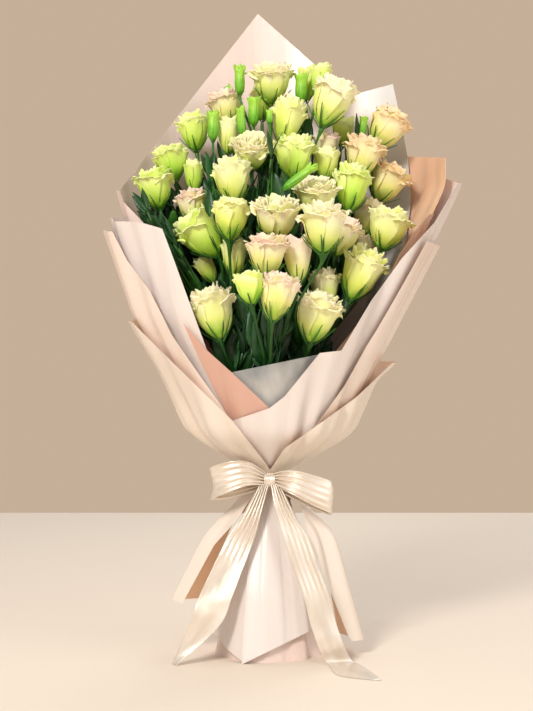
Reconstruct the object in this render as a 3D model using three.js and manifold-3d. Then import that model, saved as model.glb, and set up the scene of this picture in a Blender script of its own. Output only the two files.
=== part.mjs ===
// A wrapped bouquet of double lisianthus, standing on its cut stem ends and the foot of its paper wrap.
// Millimetres, +Z up, the front faces -Y. The origin is the middle of the bunch on the table.
//
// Places are given as they are seen from the front: `across` to the right of the middle and `up` from the
// table, both at the scale of the plane through the axis. seen() carries such a place to a depth, so that
// a near thing isn't drawn too large. Depth is -Y towards the front.

import * as THREE from 'three';
import { mergeVertices } from 'three/addons/utils/BufferGeometryUtils.js';
import Module from 'manifold-3d';

const wasm = await Module();
wasm.setup();

// ---------------------------------------------------------------- driving dimensions

const EYE_DISTANCE = 1750;        // from the viewer's eye to the axis
const EYE_HEIGHT = 356;           // of the eye above the table
const WAIST_LOW = 200;            // the tied waist of the wrap
const WAIST_HIGH = 216;
const PAPER = 1.1;                // wall of a sheet
const LAYER_PITCH = 1.45;         // from one sheet to the next at the waist
const SHELL_SIDES = 14;           // columns round the wrap
const HIDDEN_HEM = 165;           // where a sheet ends that the skirt hides
const ABOVE_SEEN = 45;            // how much higher than it looks the top of a sheet can stand at the back
const SEAT_GAP = 0.35;            // between a bloom and its calyx
const AROUND = 1.012;             // how much larger the room is that a bloom keeps from the next
const FULL_WIDTH = 39;            // a narrower bloom has three petals to a layer, a wider one four
const WALL_CLEARANCE = 2;         // between a bloom and the paper behind it
const MAIN_STEM = 2.4;            // radius of a main stem
const BRANCH = 1.5;               // radius of a branch
const STEM_APEX = 150;            // height of the point that the stems fan out from
const FORK = 285;                 // height of the lowest fork
const RIBBON = 1.0;               // thickness of the ribbon
const DEG = Math.PI / 180;

const COLOURS = {
  cream: '#eadf9c',
  yellow: '#dcdc7a',
  green: '#b7d94a',
  blush: '#ecd2b4',
  peach: '#efc79a',
  leaf: '#2f6b2a',
};

// A bloom or bud: across, up, depth, width at the rim, height, lean to the right and nod to the front
// in degrees, and colour. The depth is a first guess, which settle() moves.
const BLOOMS = {
  top_centre: [4, 682, 58, 55, 50, 0, 10, 'cream'],
  top_left_blush: [-50, 653, 48, 46, 46, -12, 0, 'blush'],
  centre_back: [-7, 658, 68, 36, 43, 0, 0, 'yellow'],
  tall_centre: [24, 636, 28, 44, 58, 12, 0, 'yellow'],
  top_yellow: [48, 682, 73, 29, 43, 3, 0, 'yellow'],
  top_green: [62, 686, 63, 26, 43, 10, 0, 'green'],
  top_right: [76, 660, 33, 56, 60, 20, 0, 'cream'],
  half_open_right: [89, 624, 48, 31, 38, 5, 0, 'green'],
  far_right_top: [143, 628, 30, 52, 53, 32, 0, 'peach'],
  right_orange: [115, 596, 18, 49, 50, 14, 0, 'peach'],
  right_peach: [143, 564, 23, 53, 50, 25, 0, 'peach'],
  right_green: [100, 557, -7, 47, 55, 8, 0, 'green'],
  right_cream: [70, 583, 18, 34, 42, 0, 0, 'yellow'],
  right_blush_back: [70, 604, 48, 35, 40, 0, 0, 'blush'],
  middle_wide: [58, 547, -17, 55, 43, 0, 20, 'cream'],
  middle_right: [66, 509, -54, 55, 55, 0, 5, 'cream'],
  middle_right_pink: [91, 499, -35, 39, 47, 22, 0, 'blush'],
  right_blush: [118, 523, -4, 40, 43, 5, 0, 'blush'],
  right_yellow: [144, 509, -19, 53, 50, 14, 0, 'yellow'],
  right_low_blush: [113, 484, -5, 29, 34, 0, 0, 'blush'],
  low_right_cream: [112, 455, -50, 53, 62, 22, 0, 'yellow'],
  low_right_back: [68, 434, -50, 38, 46, 0, 0, 'cream'],
  low_right_front: [59, 401, -85, 55, 58, 15, 0, 'cream'],
  centre_folded: [31, 592, 8, 50, 53, 0, 0, 'green'],
  centre_facing: [-20, 600, 3, 50, 43, 0, 35, 'cream'],
  left_yellow_back: [-48, 620, 33, 31, 46, 0, 0, 'yellow'],
  left_green_top: [-89, 625, 33, 43, 46, -8, 0, 'green'],
  left_yellow: [-116, 587, 33, 46, 43, -12, 0, 'green'],
  left_edge_green: [-136, 557, 18, 48, 48, -14, 0, 'green'],
  left_narrow: [-89, 569, 28, 26, 43, 0, 0, 'green'],
  centre_cream: [-43, 565, -7, 48, 53, -4, 0, 'yellow'],
  left_blush_back: [-91, 535, 21, 41, 41, -5, 0, 'blush'],
  left_white: [-44, 520, -39, 48, 48, 4, 5, 'yellow'],
  left_large_green: [-82, 502, -34, 55, 60, -40, 0, 'green'],
  left_tall_yellow: [-41, 473, -35, 32, 50, 0, 0, 'yellow'],
  centre_ruffled: [11, 521, -44, 57, 49, 0, 22, 'cream'],
  centre_blush: [-1, 475, -55, 48, 48, 0, 0, 'blush'],
  centre_yellow_blush: [35, 470, -45, 36, 55, 0, 0, 'blush'],
  small_green: [-23, 438, -95, 36, 37, -10, 0, 'green'],
  low_centre: [11, 427, -90, 46, 52, 10, 0, 'blush'],
  low_left: [-66, 406, -80, 55, 60, -15, 0, 'cream'],
  low_left_back: [-74, 461, -30, 26, 36, -30, 0, 'yellow'],
};
const BUDS = {
  bud_top_left: [-34, 686, 38, 14, 36, 0, 0],
  bud_tight: [-50, 673, 60, 13, 16, 60, 0],
  bud_top: [40, 676, 36, 18, 37, 0, 0],
  bud_centre: [-17, 648, 23, 16, 35, 0, 0],
  bud_slim: [-32, 636, 30, 12, 36, -4, 0],
  bud_left: [-66, 631, 16, 15, 38, 0, 0],
  bud_right: [114, 630, 30, 11, 24, 6, 0],
  bud_small: [2, 642, 10, 9, 17, 0, 0],
  bud_lying: [36, 569, -24, 12, 48, 52, 0],
};

// Height, then the half widths of the innermost sheet to the left, right, front and back, and how many
// times wider than at the waist the sheets stand apart.
const WRAP = [
  [0, 60, 60, 60, 60, 1],
  [80, 45, 45, 45, 45, 1],
  [150, 25, 25, 25, 25, 1],
  [WAIST_LOW, 8, 8, 8, 8, 1],
  [WAIST_HIGH, 8, 8, 8, 8, 1],
  [262, 58, 60, 52, 50, 2.2],
  [400, 128, 122, 104, 98, 2.7],
  [560, 178, 200, 104, 126, 3],
  [812, 192, 207, 99, 149, 3],
];

// The sheets from the innermost out. front and back are the outlines of the near and far half of each
// sheet, seen from the front; a place beyond the wrap's own side cuts nothing. A wing is a flap of the
// hem that stands out to one side, given as heights and half widths.
const FAR = 300;
const SHEETS = [
  { name: 'sheet_back', colour: '#ecdcd0',
    front: [[-FAR, 552], [-178, 554], [-173, 540], [-150, 516], [-124, 468], [-86, 380], [-30, 236],
      [FAR, 236], [FAR, -40], [-FAR, -40]],
    back: [[-FAR, 552], [-178, 554], [-12, 766], [54, 707], [104, 668], [132, 636], [144, 590],
      [140, 470], [74, 302], [38, 236], [FAR, 236], [FAR, -40], [-FAR, -40]] },
  { name: 'sheet_silver', colour: '#e6e2dc', hem: HIDDEN_HEM,
    front: [[-FAR, 236], [FAR, 236], [FAR, 0], [-FAR, 0]],
    back: [[86, 664], [106, 670], [150, 682], [158, 644], [168, 593], [172, 542], [164, 482], [98, 326],
      [38, 236], [FAR, 236], [FAR, 0], [-FAR, 0], [-FAR, 236], [-7, 236], [38, 326], [62, 482]] },
  { name: 'sheet_peach', colour: '#f2cdb0', hem: HIDDEN_HEM,
    front: [[FAR, 526], [194, 526], [174, 502], [158, 478], [130, 422], [82, 362], [34, 254], [34, 236],
      [-FAR, 236], [-FAR, 0], [FAR, 0]],
    back: [[152, 594], [167, 595], [214, 593], [FAR, 593], [FAR, 0], [-FAR, 0], [-FAR, 236], [26, 236],
      [74, 326], [134, 470], [149, 542]] },
  { name: 'sheet_grey', colour: '#c9c6c1', hem: HIDDEN_HEM,
    front: [[-76, 329], [-43, 336], [79, 361], [118, 367], [92, 320], [38, 242], [30, 0], [-30, 0],
      [-34, 236], [-64, 302]] },
  { name: 'sheet_left_roll', colour: '#f1e6e0',
    front: [[-FAR, 517], [-175, 517], [-154, 516], [-136, 511], [-127, 508], [-112, 468], [-74, 364],
      [-34, 266], [-7, 230], [0, 216], [2, 199], [-7, 182], [-12, 110], [-32, -11], [-50, 4], [-66, 24],
      [-82, 38], [-52, 158], [-22, 199], [-FAR, 210]],
    back: [[-FAR, 521], [-178, 521], [-160, 528], [-130, 506], [-94, 386], [-34, 236], [FAR, 236],
      [FAR, HIDDEN_HEM], [-FAR, HIDDEN_HEM]] },
  { name: 'sheet_pink', colour: '#eccab8', hem: HIDDEN_HEM,
    front: [[-102, 395], [-73, 362], [-44, 336], [-10, 304], [17, 278], [26, 236], [38, 228], [38, 0],
      [-34, 0], [-34, 218], [-52, 290], [-82, 350]] },
  { name: 'sheet_white_right', colour: '#f0e6df',
    front: [[FAR, 563], [228, 563], [200, 516], [161, 473], [124, 422], [88, 362], [62, 359], [20, 307],
      [2, 293], [-42, 278], [-48, 254], [-28, 218], [-10, 199], [-7, 182], [-23, 120], [-32, -15],
      [48, 24], [74, 34], [38, 158], [34, 199], [FAR, 199]],
    back: [[188, 572], [208, 570], [228, 563], [FAR, 560], [FAR, HIDDEN_HEM], [-FAR, HIDDEN_HEM],
      [-FAR, 236], [26, 236], [86, 326], [158, 482]] },
  { name: 'sheet_left_edge', colour: '#f0ddcd', hem: HIDDEN_HEM,
    front: [[-FAR, 468], [-169, 468], [-142, 434], [-115, 380], [-82, 332], [-56, 296], [-14, 228],
      [-14, 0], [-FAR, 0]],
    back: [[-FAR, 506], [-187, 506], [-174, 511], [-142, 482], [-94, 374], [-34, 236], [FAR, 236],
      [FAR, 0], [-FAR, 0]] },
  { name: 'sheet_right_cream', colour: '#f1e1d2', hem: HIDDEN_HEM,
    front: [[FAR, 487], [206, 487], [191, 494], [173, 461], [151, 422], [130, 386], [118, 367],
      [92, 320], [48, 259], [20, 228], [-FAR, 228], [-FAR, 0], [FAR, 0]],
    back: [[176, 482], [FAR, 487], [FAR, 0], [-FAR, 0], [-FAR, 228], [26, 228], [110, 362]] },
  { name: 'sheet_lower_left', colour: '#eeddcc', wing: { side: 'left',
      reach: [[14, 113], [60, 113], [134, 77], [150, 66]] },
    front: [[-FAR, 397], [-164, 397], [-125, 358], [-82, 316], [-43, 278], [-2, 226], [4, 216],
      [12, 199], [-22, 182], [-38, 158], [-65, 128], [-103, 58], [-113, 62], [-FAR, 62]],
    back: [[-FAR, 397], [-164, 397], [-148, 406], [-106, 326], [-46, 254], [-28, 218], [86, 218],
      [86, 182], [-10, 182], [-38, 164], [-85, 58], [-113, 62], [-FAR, 58]] },
  { name: 'sheet_lower_right', colour: '#eeddcc', wing: { side: 'right',
      reach: [[14, 109], [134, 78], [150, 71], [200, 22], [216, 22], [330, 127], [345, 149]] },
    front: [[FAR, 347], [149, 347], [106, 306], [49, 265], [20, 245], [2, 218], [-7, 216], [-7, 199],
      [38, 182], [50, 134], [97, 18], [101, 13], [109, 14], [FAR, 14]],
    back: [[130, 349], [FAR, 347], [FAR, 14], [86, 14], [68, 110], [38, 182], [20, 201], [-82, 201],
      [-82, 218], [38, 218], [74, 266]] },
];

// ---------------------------------------------------------------- solids

const V = (x, y, z) => new THREE.Vector3(x, y, z);

// The corner numbers of a closed surface's triangles, turned round if they enclose it inside out.
function facingOut(corners, triangles) {
  let volume = 0;
  for (let i = 0; i < triangles.length; i += 3) {
    const [p, q, r] = [corners[triangles[i]], corners[triangles[i + 1]], corners[triangles[i + 2]]];
    volume += p.dot(V().crossVectors(q, r));
  }
  return volume > 0 ? triangles : [...triangles].reverse();
}

// A closed geometry from its corners and faces.
function closed(corners, faces) {
  const geometry = new THREE.BufferGeometry();
  geometry.setFromPoints(corners);
  geometry.setIndex(faces.flat());
  return geometry;
}

function solid(geometry) {
  const bare = geometry.index ? geometry.toNonIndexed() : geometry.clone();
  bare.deleteAttribute('normal');
  bare.deleteAttribute('uv');
  const merged = mergeVertices(bare, 1e-4);
  const place = merged.attributes.position;
  const corners = Array.from({ length: place.count }, (_, i) => V().fromBufferAttribute(place, i));
  return new wasm.Manifold(new wasm.Mesh({
    numProp: 3,
    vertProperties: new Float32Array(place.array),
    triVerts: new Uint32Array(facingOut(corners, Array.from(merged.index.array))),
  }));
}

function join(solids) {
  return solids.reduce((whole, next) => whole.add(next));
}

function node(name, body, colour, roughness) {
  const out = body.getMesh();
  const geometry = new THREE.BufferGeometry();
  geometry.setAttribute('position', new THREE.Float32BufferAttribute(out.vertProperties, 3));
  geometry.setIndex(Array.from(out.triVerts));
  geometry.computeVertexNormals();
  const material = new THREE.MeshStandardMaterial({ color: colour, roughness, metalness: 0 });
  const mesh = new THREE.Mesh(geometry, material);
  mesh.name = name;
  return mesh;
}

// The triangles between two rows of corners that run side by side.
function stitch(low, high) {
  const faces = [];
  let i = 0;
  let j = 0;
  while (i < low.length - 1 || j < high.length - 1) {
    const along = (i + 1) / low.length;
    const above = (j + 1) / high.length;
    if (j === high.length - 1 || (i < low.length - 1 && along <= above)) {
      faces.push([low[i], low[i + 1], high[j]]);
      i += 1;
    } else {
      faces.push([low[i], high[j + 1], high[j]]);
      j += 1;
    }
  }
  return faces;
}

// A blade on rows of { at, out }: as thick as given inside, thinning to nothing at its two long edges.
// Its two faces are split into triangles alike.
function blade(rows, thickness) {
  const corners = [];
  const near = [];
  const far = [];
  for (const row of rows) {
    const a = [];
    const b = [];
    row.forEach(({ at, out }, i) => {
      const edge = i === 0 || i === row.length - 1;
      const half = edge ? 0 : thickness / 2;
      a.push(corners.push(at.clone().addScaledVector(out, half)) - 1);
      b.push(edge ? a[i] : corners.push(at.clone().addScaledVector(out, -half)) - 1);
    });
    near.push(a);
    far.push(b);
  }
  const faces = [];
  for (let i = 0; i + 1 < rows.length; i += 1) {
    faces.push(...stitch(near[i], near[i + 1]));
    for (const [p, q, r] of stitch(far[i], far[i + 1])) faces.push([p, r, q]);
  }
  const rims = [[near[0], far[0], false], [near[near.length - 1], far[far.length - 1], true]];
  for (const [a, b, top] of rims) {
    for (const [p, q, r] of stitch(a, b)) {
      if (p !== q && q !== r && r !== p) faces.push(top ? [p, q, r] : [p, r, q]);
    }
  }
  return closed(corners, faces);
}

// A round rod through points, with a radius for all of them and one for its very end.
function rod(points, radius, endRadius, sides) {
  const corners = [];
  const faces = [];
  const last = points.length - 1;
  points.forEach((point, i) => {
    const along = points[Math.min(i + 1, last)].clone().sub(points[Math.max(i - 1, 0)]).normalize();
    const across = V(0, 1, 0).cross(along).normalize();
    const third = along.clone().cross(across);
    const reach = i === last ? endRadius : radius;
    for (let k = 0; k < sides; k += 1) {
      const turn = 2 * Math.PI * k / sides;
      corners.push(point.clone()
        .addScaledVector(across, reach * Math.cos(turn))
        .addScaledVector(third, reach * Math.sin(turn)));
    }
  });
  for (let i = 0; i < last; i += 1) {
    for (let k = 0; k < sides; k += 1) {
      const a = i * sides + k;
      const b = i * sides + (k + 1) % sides;
      faces.push([a, b, b + sides], [a, b + sides, a + sides]);
    }
  }
  for (let k = 1; k + 1 < sides; k += 1) {
    faces.push([0, k + 1, k], [last * sides, last * sides + k, last * sides + k + 1]);
  }
  return closed(corners, faces);
}

// ---------------------------------------------------------------- places

function seen(across, up, depth) {
  const nearer = 1 + depth / EYE_DISTANCE;
  return V(across * nearer, depth, EYE_HEIGHT + (up - EYE_HEIGHT) * nearer);
}

function flower([across, up, depth, width, tall, lean, nod, colour]) {
  const nearer = 1 + depth / EYE_DISTANCE;
  return { across, up, depth, guess: depth, width: width * nearer, tall: tall * nearer,
    lean: lean * DEG, nod: nod * DEG, colour, petals: width < FULL_WIDTH ? 3 : 4, isBud: !colour };
}

function axisOf({ lean, nod }) {
  return V(Math.sin(lean) * Math.cos(nod), -Math.sin(nod), Math.cos(lean) * Math.cos(nod));
}

function baseOf(bloom) {
  const middle = seen(bloom.across, bloom.up, bloom.depth);
  return middle.addScaledVector(axisOf(bloom), -bloom.tall / 2);
}

// Balls that fill a bloom and the top of its stem, as [how far above its middle, radius], in heights and
// widths of the bloom.
const FILLING = [[-0.72, 0.06], [-0.27, 0.30], [0.08, 0.45], [0.34, 0.485]];

function ballsOf(bloom) {
  const middle = seen(bloom.across, bloom.up, bloom.depth);
  return FILLING.map(([along, radius]) => ({
    at: middle.clone().addScaledVector(axisOf(bloom), along * bloom.tall),
    radius: radius * bloom.width,
  }));
}

// The wrap's sizes at a height, between the rows of WRAP.
function wrapAt(height) {
  const above = Math.max(1, WRAP.findIndex(([z]) => z >= height));
  const [low, high] = [WRAP[above - 1], WRAP[above]];
  const share = Math.min(1, Math.max(0, (height - low[0]) / (high[0] - low[0])));
  const [, left, right, front, back, spread] = low.map((value, i) => value + (high[i] - value) * share);
  return { left, right, front, back, spread };
}

// How far back a bloom can stand before it meets the back of the wrap.
function roomBehind(bloom) {
  return ballsOf(bloom).reduce((room, { at, radius }) => {
    const size = wrapAt(at.z);
    const across = (at.x > 0 ? size.right : size.left) - radius - WALL_CLEARANCE;
    const deep = size.back - radius - WALL_CLEARANCE;
    const wall = deep * Math.sqrt(Math.max(0, 1 - (at.x / across) ** 2));
    return Math.min(room, wall - at.y + bloom.depth);
  }, FAR);
}

// Moves blooms that run into each other apart, in depth alone, so that each stays where it is seen.
function settle(flowers) {
  const ROUNDS = 700;
  const SHARE = 0.3;
  const RETURN = 0.01;
  const FREE_ROUNDS = 300;
  for (let round = 0; round < ROUNDS; round += 1) {
    for (let i = 0; i < flowers.length; i += 1) {
      for (let j = i + 1; j < flowers.length; j += 1) {
        const sign = flowers[i].guess >= flowers[j].guess ? 1 : -1;
        let lack = 0;
        for (const p of ballsOf(flowers[i])) {
          for (const q of ballsOf(flowers[j])) {
            const apart = p.radius + q.radius;
            const flat = (p.at.x - q.at.x) ** 2 + (p.at.z - q.at.z) ** 2;
            if (flat >= apart * apart) continue;
            lack = Math.max(lack, Math.sqrt(apart * apart - flat) - sign * (p.at.y - q.at.y));
          }
        }
        flowers[i].depth += sign * lack * SHARE;
        flowers[j].depth -= sign * lack * SHARE;
      }
    }
    for (const one of flowers) {
      if (round < FREE_ROUNDS) one.depth += (one.guess - one.depth) * RETURN;
      one.depth = Math.min(one.depth, roomBehind(one));
    }
  }
}

const blooms = Object.fromEntries(Object.entries(BLOOMS).map(([name, row]) => [name, flower(row)]));
const buds = Object.fromEntries(Object.entries(BUDS).map(([name, row]) => [name, flower(row)]));
const everyFlower = [...Object.values(blooms), ...Object.values(buds)];
settle(everyFlower);

// ---------------------------------------------------------------- blooms

// The rings of a bloom from its base over the outer petals' rim, down between the layers, over the inner
// petals' rim and down to the heart: radius as a share of the width, height as a share of the bloom's,
// how far the petals' edges stand apart there, how far it waves, and the layer it belongs to.
const RINGS = [
  { radius: 0.09, height: 0, step: 0, wave: 0, layer: 0 },
  { radius: 0.29, height: 0.15, step: 0.3, wave: 0, layer: 0 },
  { radius: 0.425, height: 0.45, step: 1, wave: 0, layer: 0 },
  { radius: 0.475, height: 0.97, step: 1, wave: 1, layer: 0 },
  { radius: 0.37, height: 0.66, step: 0.4, wave: 0, layer: 0 },
  { radius: 0.30, height: 0.97, step: 1, wave: 1, layer: 1 },
  { radius: 0.16, height: 0.74, step: 0.4, wave: 0, layer: 1 },
];
const HEART_TIP = 0.92;
// One petal round its layer, from the edge that lies under its neighbour to the edge that lies over
// the next: where, as a share of the petal, and how far out.
const PETAL_EDGE = [[0.03, -1], [0.5, 0], [0.97, 1]];
const STEP = 0.025;               // of the width, from a petal's middle to its edge
const WAVE = 0.07;                // of the height, how far a rim dips and lifts
const INNER_TURN = 35 * DEG;      // from the outer petals to the inner ones

function scatter(seed) {
  const value = Math.sin(seed * 12.9898) * 43758.5453;
  return value - Math.floor(value);
}

// The corners of one ring.
function ringCorners({ width, tall }, ring, petals, seed) {
  const corners = [];
  for (let p = 0; p < petals; p += 1) {
    for (let q = 0; q < PETAL_EDGE.length; q += 1) {
      const [share, side] = PETAL_EDGE[q];
      const turn = 2 * Math.PI * (p + share) / petals + ring.layer * INNER_TURN;
      const atEdge = Math.abs(side) === 1;
      const lift = atEdge ? -1 : 2 * scatter(seed + 7 * p + q + 31 * ring.layer) - 0.6;
      const radius = width * (ring.radius + side * STEP * ring.step);
      const height = tall * (ring.height + WAVE * lift * ring.wave);
      corners.push(V(radius * Math.cos(turn), radius * Math.sin(turn), height));
    }
  }
  return corners;
}

function bloomGeometry(bloom, seed) {
  const { petals } = bloom;
  const sides = petals * PETAL_EDGE.length;
  const corners = RINGS.flatMap((ring) => ringCorners(bloom, ring, petals, seed));
  const tip = corners.push(V(0, 0, HEART_TIP * bloom.tall)) - 1;
  const faces = [];
  const last = (RINGS.length - 1) * sides;
  for (let k = 0; k < sides; k += 1) {
    const next = (k + 1) % sides;
    for (let row = 0; row < last; row += sides) {
      faces.push([row + k, row + next, row + sides + next], [row + k, row + sides + next, row + sides + k]);
    }
    faces.push([last + k, last + next, tip]);
    if (k > 0 && next > 0) faces.push([0, next, k]);
  }
  return closed(corners, faces);
}

// Carries a geometry that stands on the origin to a bloom's base, along its axis.
function standing(bloom) {
  const turn = new THREE.Quaternion().setFromUnitVectors(V(0, 0, 1), axisOf(bloom));
  return new THREE.Matrix4().compose(baseOf(bloom), turn, V(1, 1, 1));
}

function bloomSolid(bloom, seed) {
  return solid(bloomGeometry(bloom, seed).applyMatrix4(standing(bloom)));
}

// A bloom a little larger than it is, about its middle.
function roomFor(bloom, seed) {
  const middle = seen(bloom.across, bloom.up, bloom.depth);
  return solid(bloomGeometry(bloom, seed).applyMatrix4(standing(bloom))
    .translate(-middle.x, -middle.y, -middle.z).scale(AROUND, AROUND, AROUND)
    .translate(middle.x, middle.y, middle.z));
}

function meets(one, other) {
  return !one.intersect(other).isEmpty();
}

// Moves the blooms whose petals still touch a little further apart, in depth.
function part(list) {
  const NUDGE = 0.4;
  const ROUNDS = 40;
  const near = (a, b) => seen(a.across, a.up, a.depth).distanceTo(seen(b.across, b.up, b.depth))
    < (a.width + a.tall + b.width + b.tall) / 3;
  const pairs = list.flatMap((a, i) => list.slice(i + 1).map((b) => [a, b])).filter(([a, b]) => near(a, b));
  list.forEach((bloom, seed) => Object.assign(bloom, { seed, body: roomFor(bloom, seed) }));
  for (let round = 0; round < ROUNDS; round += 1) {
    const touching = pairs.filter(([a, b]) => meets(a.body, b.body));
    if (touching.length === 0) break;
    for (const [a, b] of touching) {
      const sign = a.guess >= b.guess ? 1 : -1;
      a.depth = Math.min(a.depth + sign * NUDGE, roomBehind(a));
      b.depth = Math.min(b.depth - sign * NUDGE, roomBehind(b));
    }
    for (const bloom of new Set(touching.flat())) bloom.body = roomFor(bloom, bloom.seed);
  }
  for (const bloom of list) bloom.body = bloomSolid(bloom, bloom.seed);
}

part(Object.values(blooms));

// ---------------------------------------------------------------- paper

// The half width that a wing holds at a height, or null above and below it.
function wingAt(wing, height) {
  const above = wing.reach.findIndex(([z]) => z >= height);
  if (above < 0) return null;
  if (above === 0) return wing.reach[0][1];
  const [[z0, w0], [z1, w1]] = [wing.reach[above - 1], wing.reach[above]];
  return w0 + (w1 - w0) * (height - z0) / (z1 - z0);
}

// A point on the wrap, `out` beyond the innermost sheet's inner face, at a turn round the axis.
function onWrap(turn, height, out, wing) {
  const size = wrapAt(height);
  let across = (Math.cos(turn) > 0 ? size.right : size.left) + out;
  const deep = (Math.sin(turn) > 0 ? size.back : size.front) + out;
  if (wing && (wing.side === 'right') === (Math.cos(turn) > 0)) {
    const reach = wingAt(wing, height);
    if (reach !== null) across = Math.max(across, reach + (out - wing.out));
  }
  const flat = 1 / Math.cos(Math.PI / SHELL_SIDES);
  return V(across * flat * Math.cos(turn), deep * flat * Math.sin(turn), height);
}

// A closed wall round the whole wrap, from which a sheet is cut.
function wall(layer, heights, thickness, wing) {
  const corners = [];
  const faces = [];
  const sides = SHELL_SIDES;
  for (const height of heights) {
    const inner = layer * LAYER_PITCH * wrapAt(height).spread;
    const flap = wing && { ...wing, out: inner };
    for (const out of [inner, inner + thickness]) {
      for (let k = 0; k < sides; k += 1) {
        corners.push(onWrap(2 * Math.PI * (k + 0.5) / sides, height, out, flap));
      }
    }
  }
  const row = 2 * sides;
  const top = (heights.length - 1) * row;
  for (let k = 0; k < sides; k += 1) {
    const next = (k + 1) % sides;
    for (let i = 0; i < top; i += row) {
      const [a, b, c, d] = [i + k, i + next, i + row + next, i + row + k];
      faces.push([a, c, b], [a, d, c]);
      faces.push([a + sides, b + sides, c + sides], [a + sides, c + sides, d + sides]);
    }
    faces.push([k, next, next + sides], [k, next + sides, k + sides]);
    const [a, b] = [top + k, top + next];
    faces.push([a, b + sides, b], [a, a + sides, b + sides]);
  }
  return solid(closed(corners, faces));
}

// All that lies behind an outline as the eye sees it, between two depths.
function beam(outline, near, far) {
  const shape = new THREE.Shape(outline.map(([across, up]) => new THREE.Vector2(across, up)));
  const geometry = new THREE.ExtrudeGeometry(shape, { depth: far - near, bevelEnabled: false });
  const place = geometry.attributes.position;
  for (let i = 0; i < place.count; i += 1) {
    const { x, y, z } = seen(place.getX(i), place.getY(i), near + place.getZ(i));
    place.setXYZ(i, x, y, z);
  }
  return solid(geometry);
}

function sheetSolid(sheet, layer) {
  const ups = [...sheet.front, ...(sheet.back ?? [])].map(([, up]) => up);
  const low = Math.max(0, sheet.hem ?? 0, Math.min(...ups));
  const high = Math.min(WRAP[WRAP.length - 1][0], Math.max(...ups) + ABOVE_SEEN);
  const bends = [...WRAP.map(([z]) => z), ...(sheet.wing ? sheet.wing.reach.map(([z]) => z) : [])];
  const between = [...new Set(bends)].filter((z) => z > low && z < high).sort((a, b) => a - b);
  const near = beam(sheet.front, -FAR, 0);
  const sides = sheet.back ? near.add(beam(sheet.back, 0, FAR)) : near;
  return wall(layer, [low, ...between, high], PAPER, sheet.wing).intersect(sides);
}

// ---------------------------------------------------------------- stems, leaves and buds

// The leafy stems, by where each one heads (across and depth for each millimetre of height above the
// apex) and by its place in the waist, in degrees round the middle stem.
const LEAFY_STEMS = {
  leafy_stem_front_left: { heads: [-0.19, -0.25], place: 198 },
  leafy_stem_front: { heads: [0.01, -0.33], place: 270 },
  leafy_stem_front_right: { heads: [0.20, -0.22], place: 342 },
  leafy_stem_back_left: { heads: [-0.25, -0.01], place: 126 },
  leafy_stem_back_right: { heads: [0.26, 0.0], place: 54 },
  leafy_stem_middle: { heads: [0.0, 0.0], place: null },
};
const FOOT_SPREAD = 3.4;          // how much wider the stems stand at the foot than in the waist
const FORK_SHARE = 0.35;          // how far up towards its bloom a branch leaves the main stem
const NECK = 13;                  // from the base of a bloom down to where its stem leaves its axis
const CALYX = 0.1;                // radius of the green cup under a bloom, of its width
const STEM_CLEARANCE = 1.6;
const LEAF = 1.6;                 // thickness of a leaf at its rib
const SEPAL = 1.4;
const LEAF_LENGTHS = [34, 50];
const LEAF_WIDTH = 0.38;          // of its length
// The large leaves that show over the front of the wrap: their stem, the height of their root on it,
// the across, up and depth of their tip, and their width.
const FRONT_LEAVES = [
  ['leafy_stem_front_left', 328, -66, 378, -62, 26],
  ['leafy_stem_front_left', 336, -20, 415, -66, 16],
  ['leafy_stem_front_left', 318, -15, 368, -62, 12],
  ['leafy_stem_front_left', 345, -52, 402, -50, 17],
  ['leafy_stem_front', 345, 19, 416, -84, 15],
  ['leafy_stem_front', 322, 12, 374, -74, 19],
  ['leafy_stem_front', 338, -14, 396, -78, 13],
  ['leafy_stem_front', 330, 31, 398, -66, 14],
  ['leafy_stem_front_right', 325, 78, 372, -52, 15],
  ['leafy_stem_front_right', 318, 60, 370, -58, 16],
  ['leafy_stem_front_right', 312, 38, 364, -60, 13],
  ['leafy_stem_front_right', 350, 44, 424, -50, 13],
];

const flowers = { ...blooms, ...buds };
const obstacles = Object.values(flowers).flatMap((one) =>
  ballsOf(one).map((ball) => ({ ...ball, one })));

function headingOf(one) {
  const base = baseOf(one);
  return [base.x / (base.z - STEM_APEX), base.y / (base.z - STEM_APEX)];
}

function nearestStem(one) {
  const [across, deep] = headingOf(one);
  const distance = ([, { heads }]) => Math.hypot(heads[0] - across, heads[1] - deep);
  return Object.entries(LEAFY_STEMS).reduce((a, b) => (distance(b) < distance(a) ? b : a))[0];
}

function onHeading([across, deep], height) {
  return V(across * (height - STEM_APEX), deep * (height - STEM_APEX), height);
}

// How much room a straight piece of stem lacks beside the blooms, its own left out.
function lacking(start, end, radius, own) {
  const line = new THREE.Line3(start, end);
  return obstacles.reduce((worst, { at, one, radius: ball }) => {
    const apart = line.closestPointToPoint(at, true, V()).distanceTo(at);
    return one === own ? worst : Math.max(worst, ball + radius + STEM_CLEARANCE - apart);
  }, 0);
}

// Bends a stem clear of the blooms. Its first point and its last two stay.
function bendClear(points, radius, own) {
  const ROUNDS = 40;
  const SMOOTH = 28;
  for (let round = 0; round < ROUNDS; round += 1) {
    for (let i = 1; i < points.length - 2; i += 1) {
      if (round < SMOOTH) {
        const middle = points[i - 1].clone().add(points[i + 1]).multiplyScalar(0.5);
        points[i].lerp(middle.setZ(points[i].z), 0.2);
      }
      for (const { at, one, radius: ball } of obstacles) {
        const reach = ball + radius + 2 * STEM_CLEARANCE;
        const away = points[i].clone().sub(at);
        if (one === own || away.length() >= reach) continue;
        const flat = Math.hypot(away.x, away.y) || 1;
        const needed = Math.sqrt(reach * reach - away.z * away.z) / flat;
        points[i].x += away.x * (needed - 1) * 0.7;
        points[i].y += away.y * (needed - 1) * 0.7;
      }
    }
  }
  return points;
}

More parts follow.
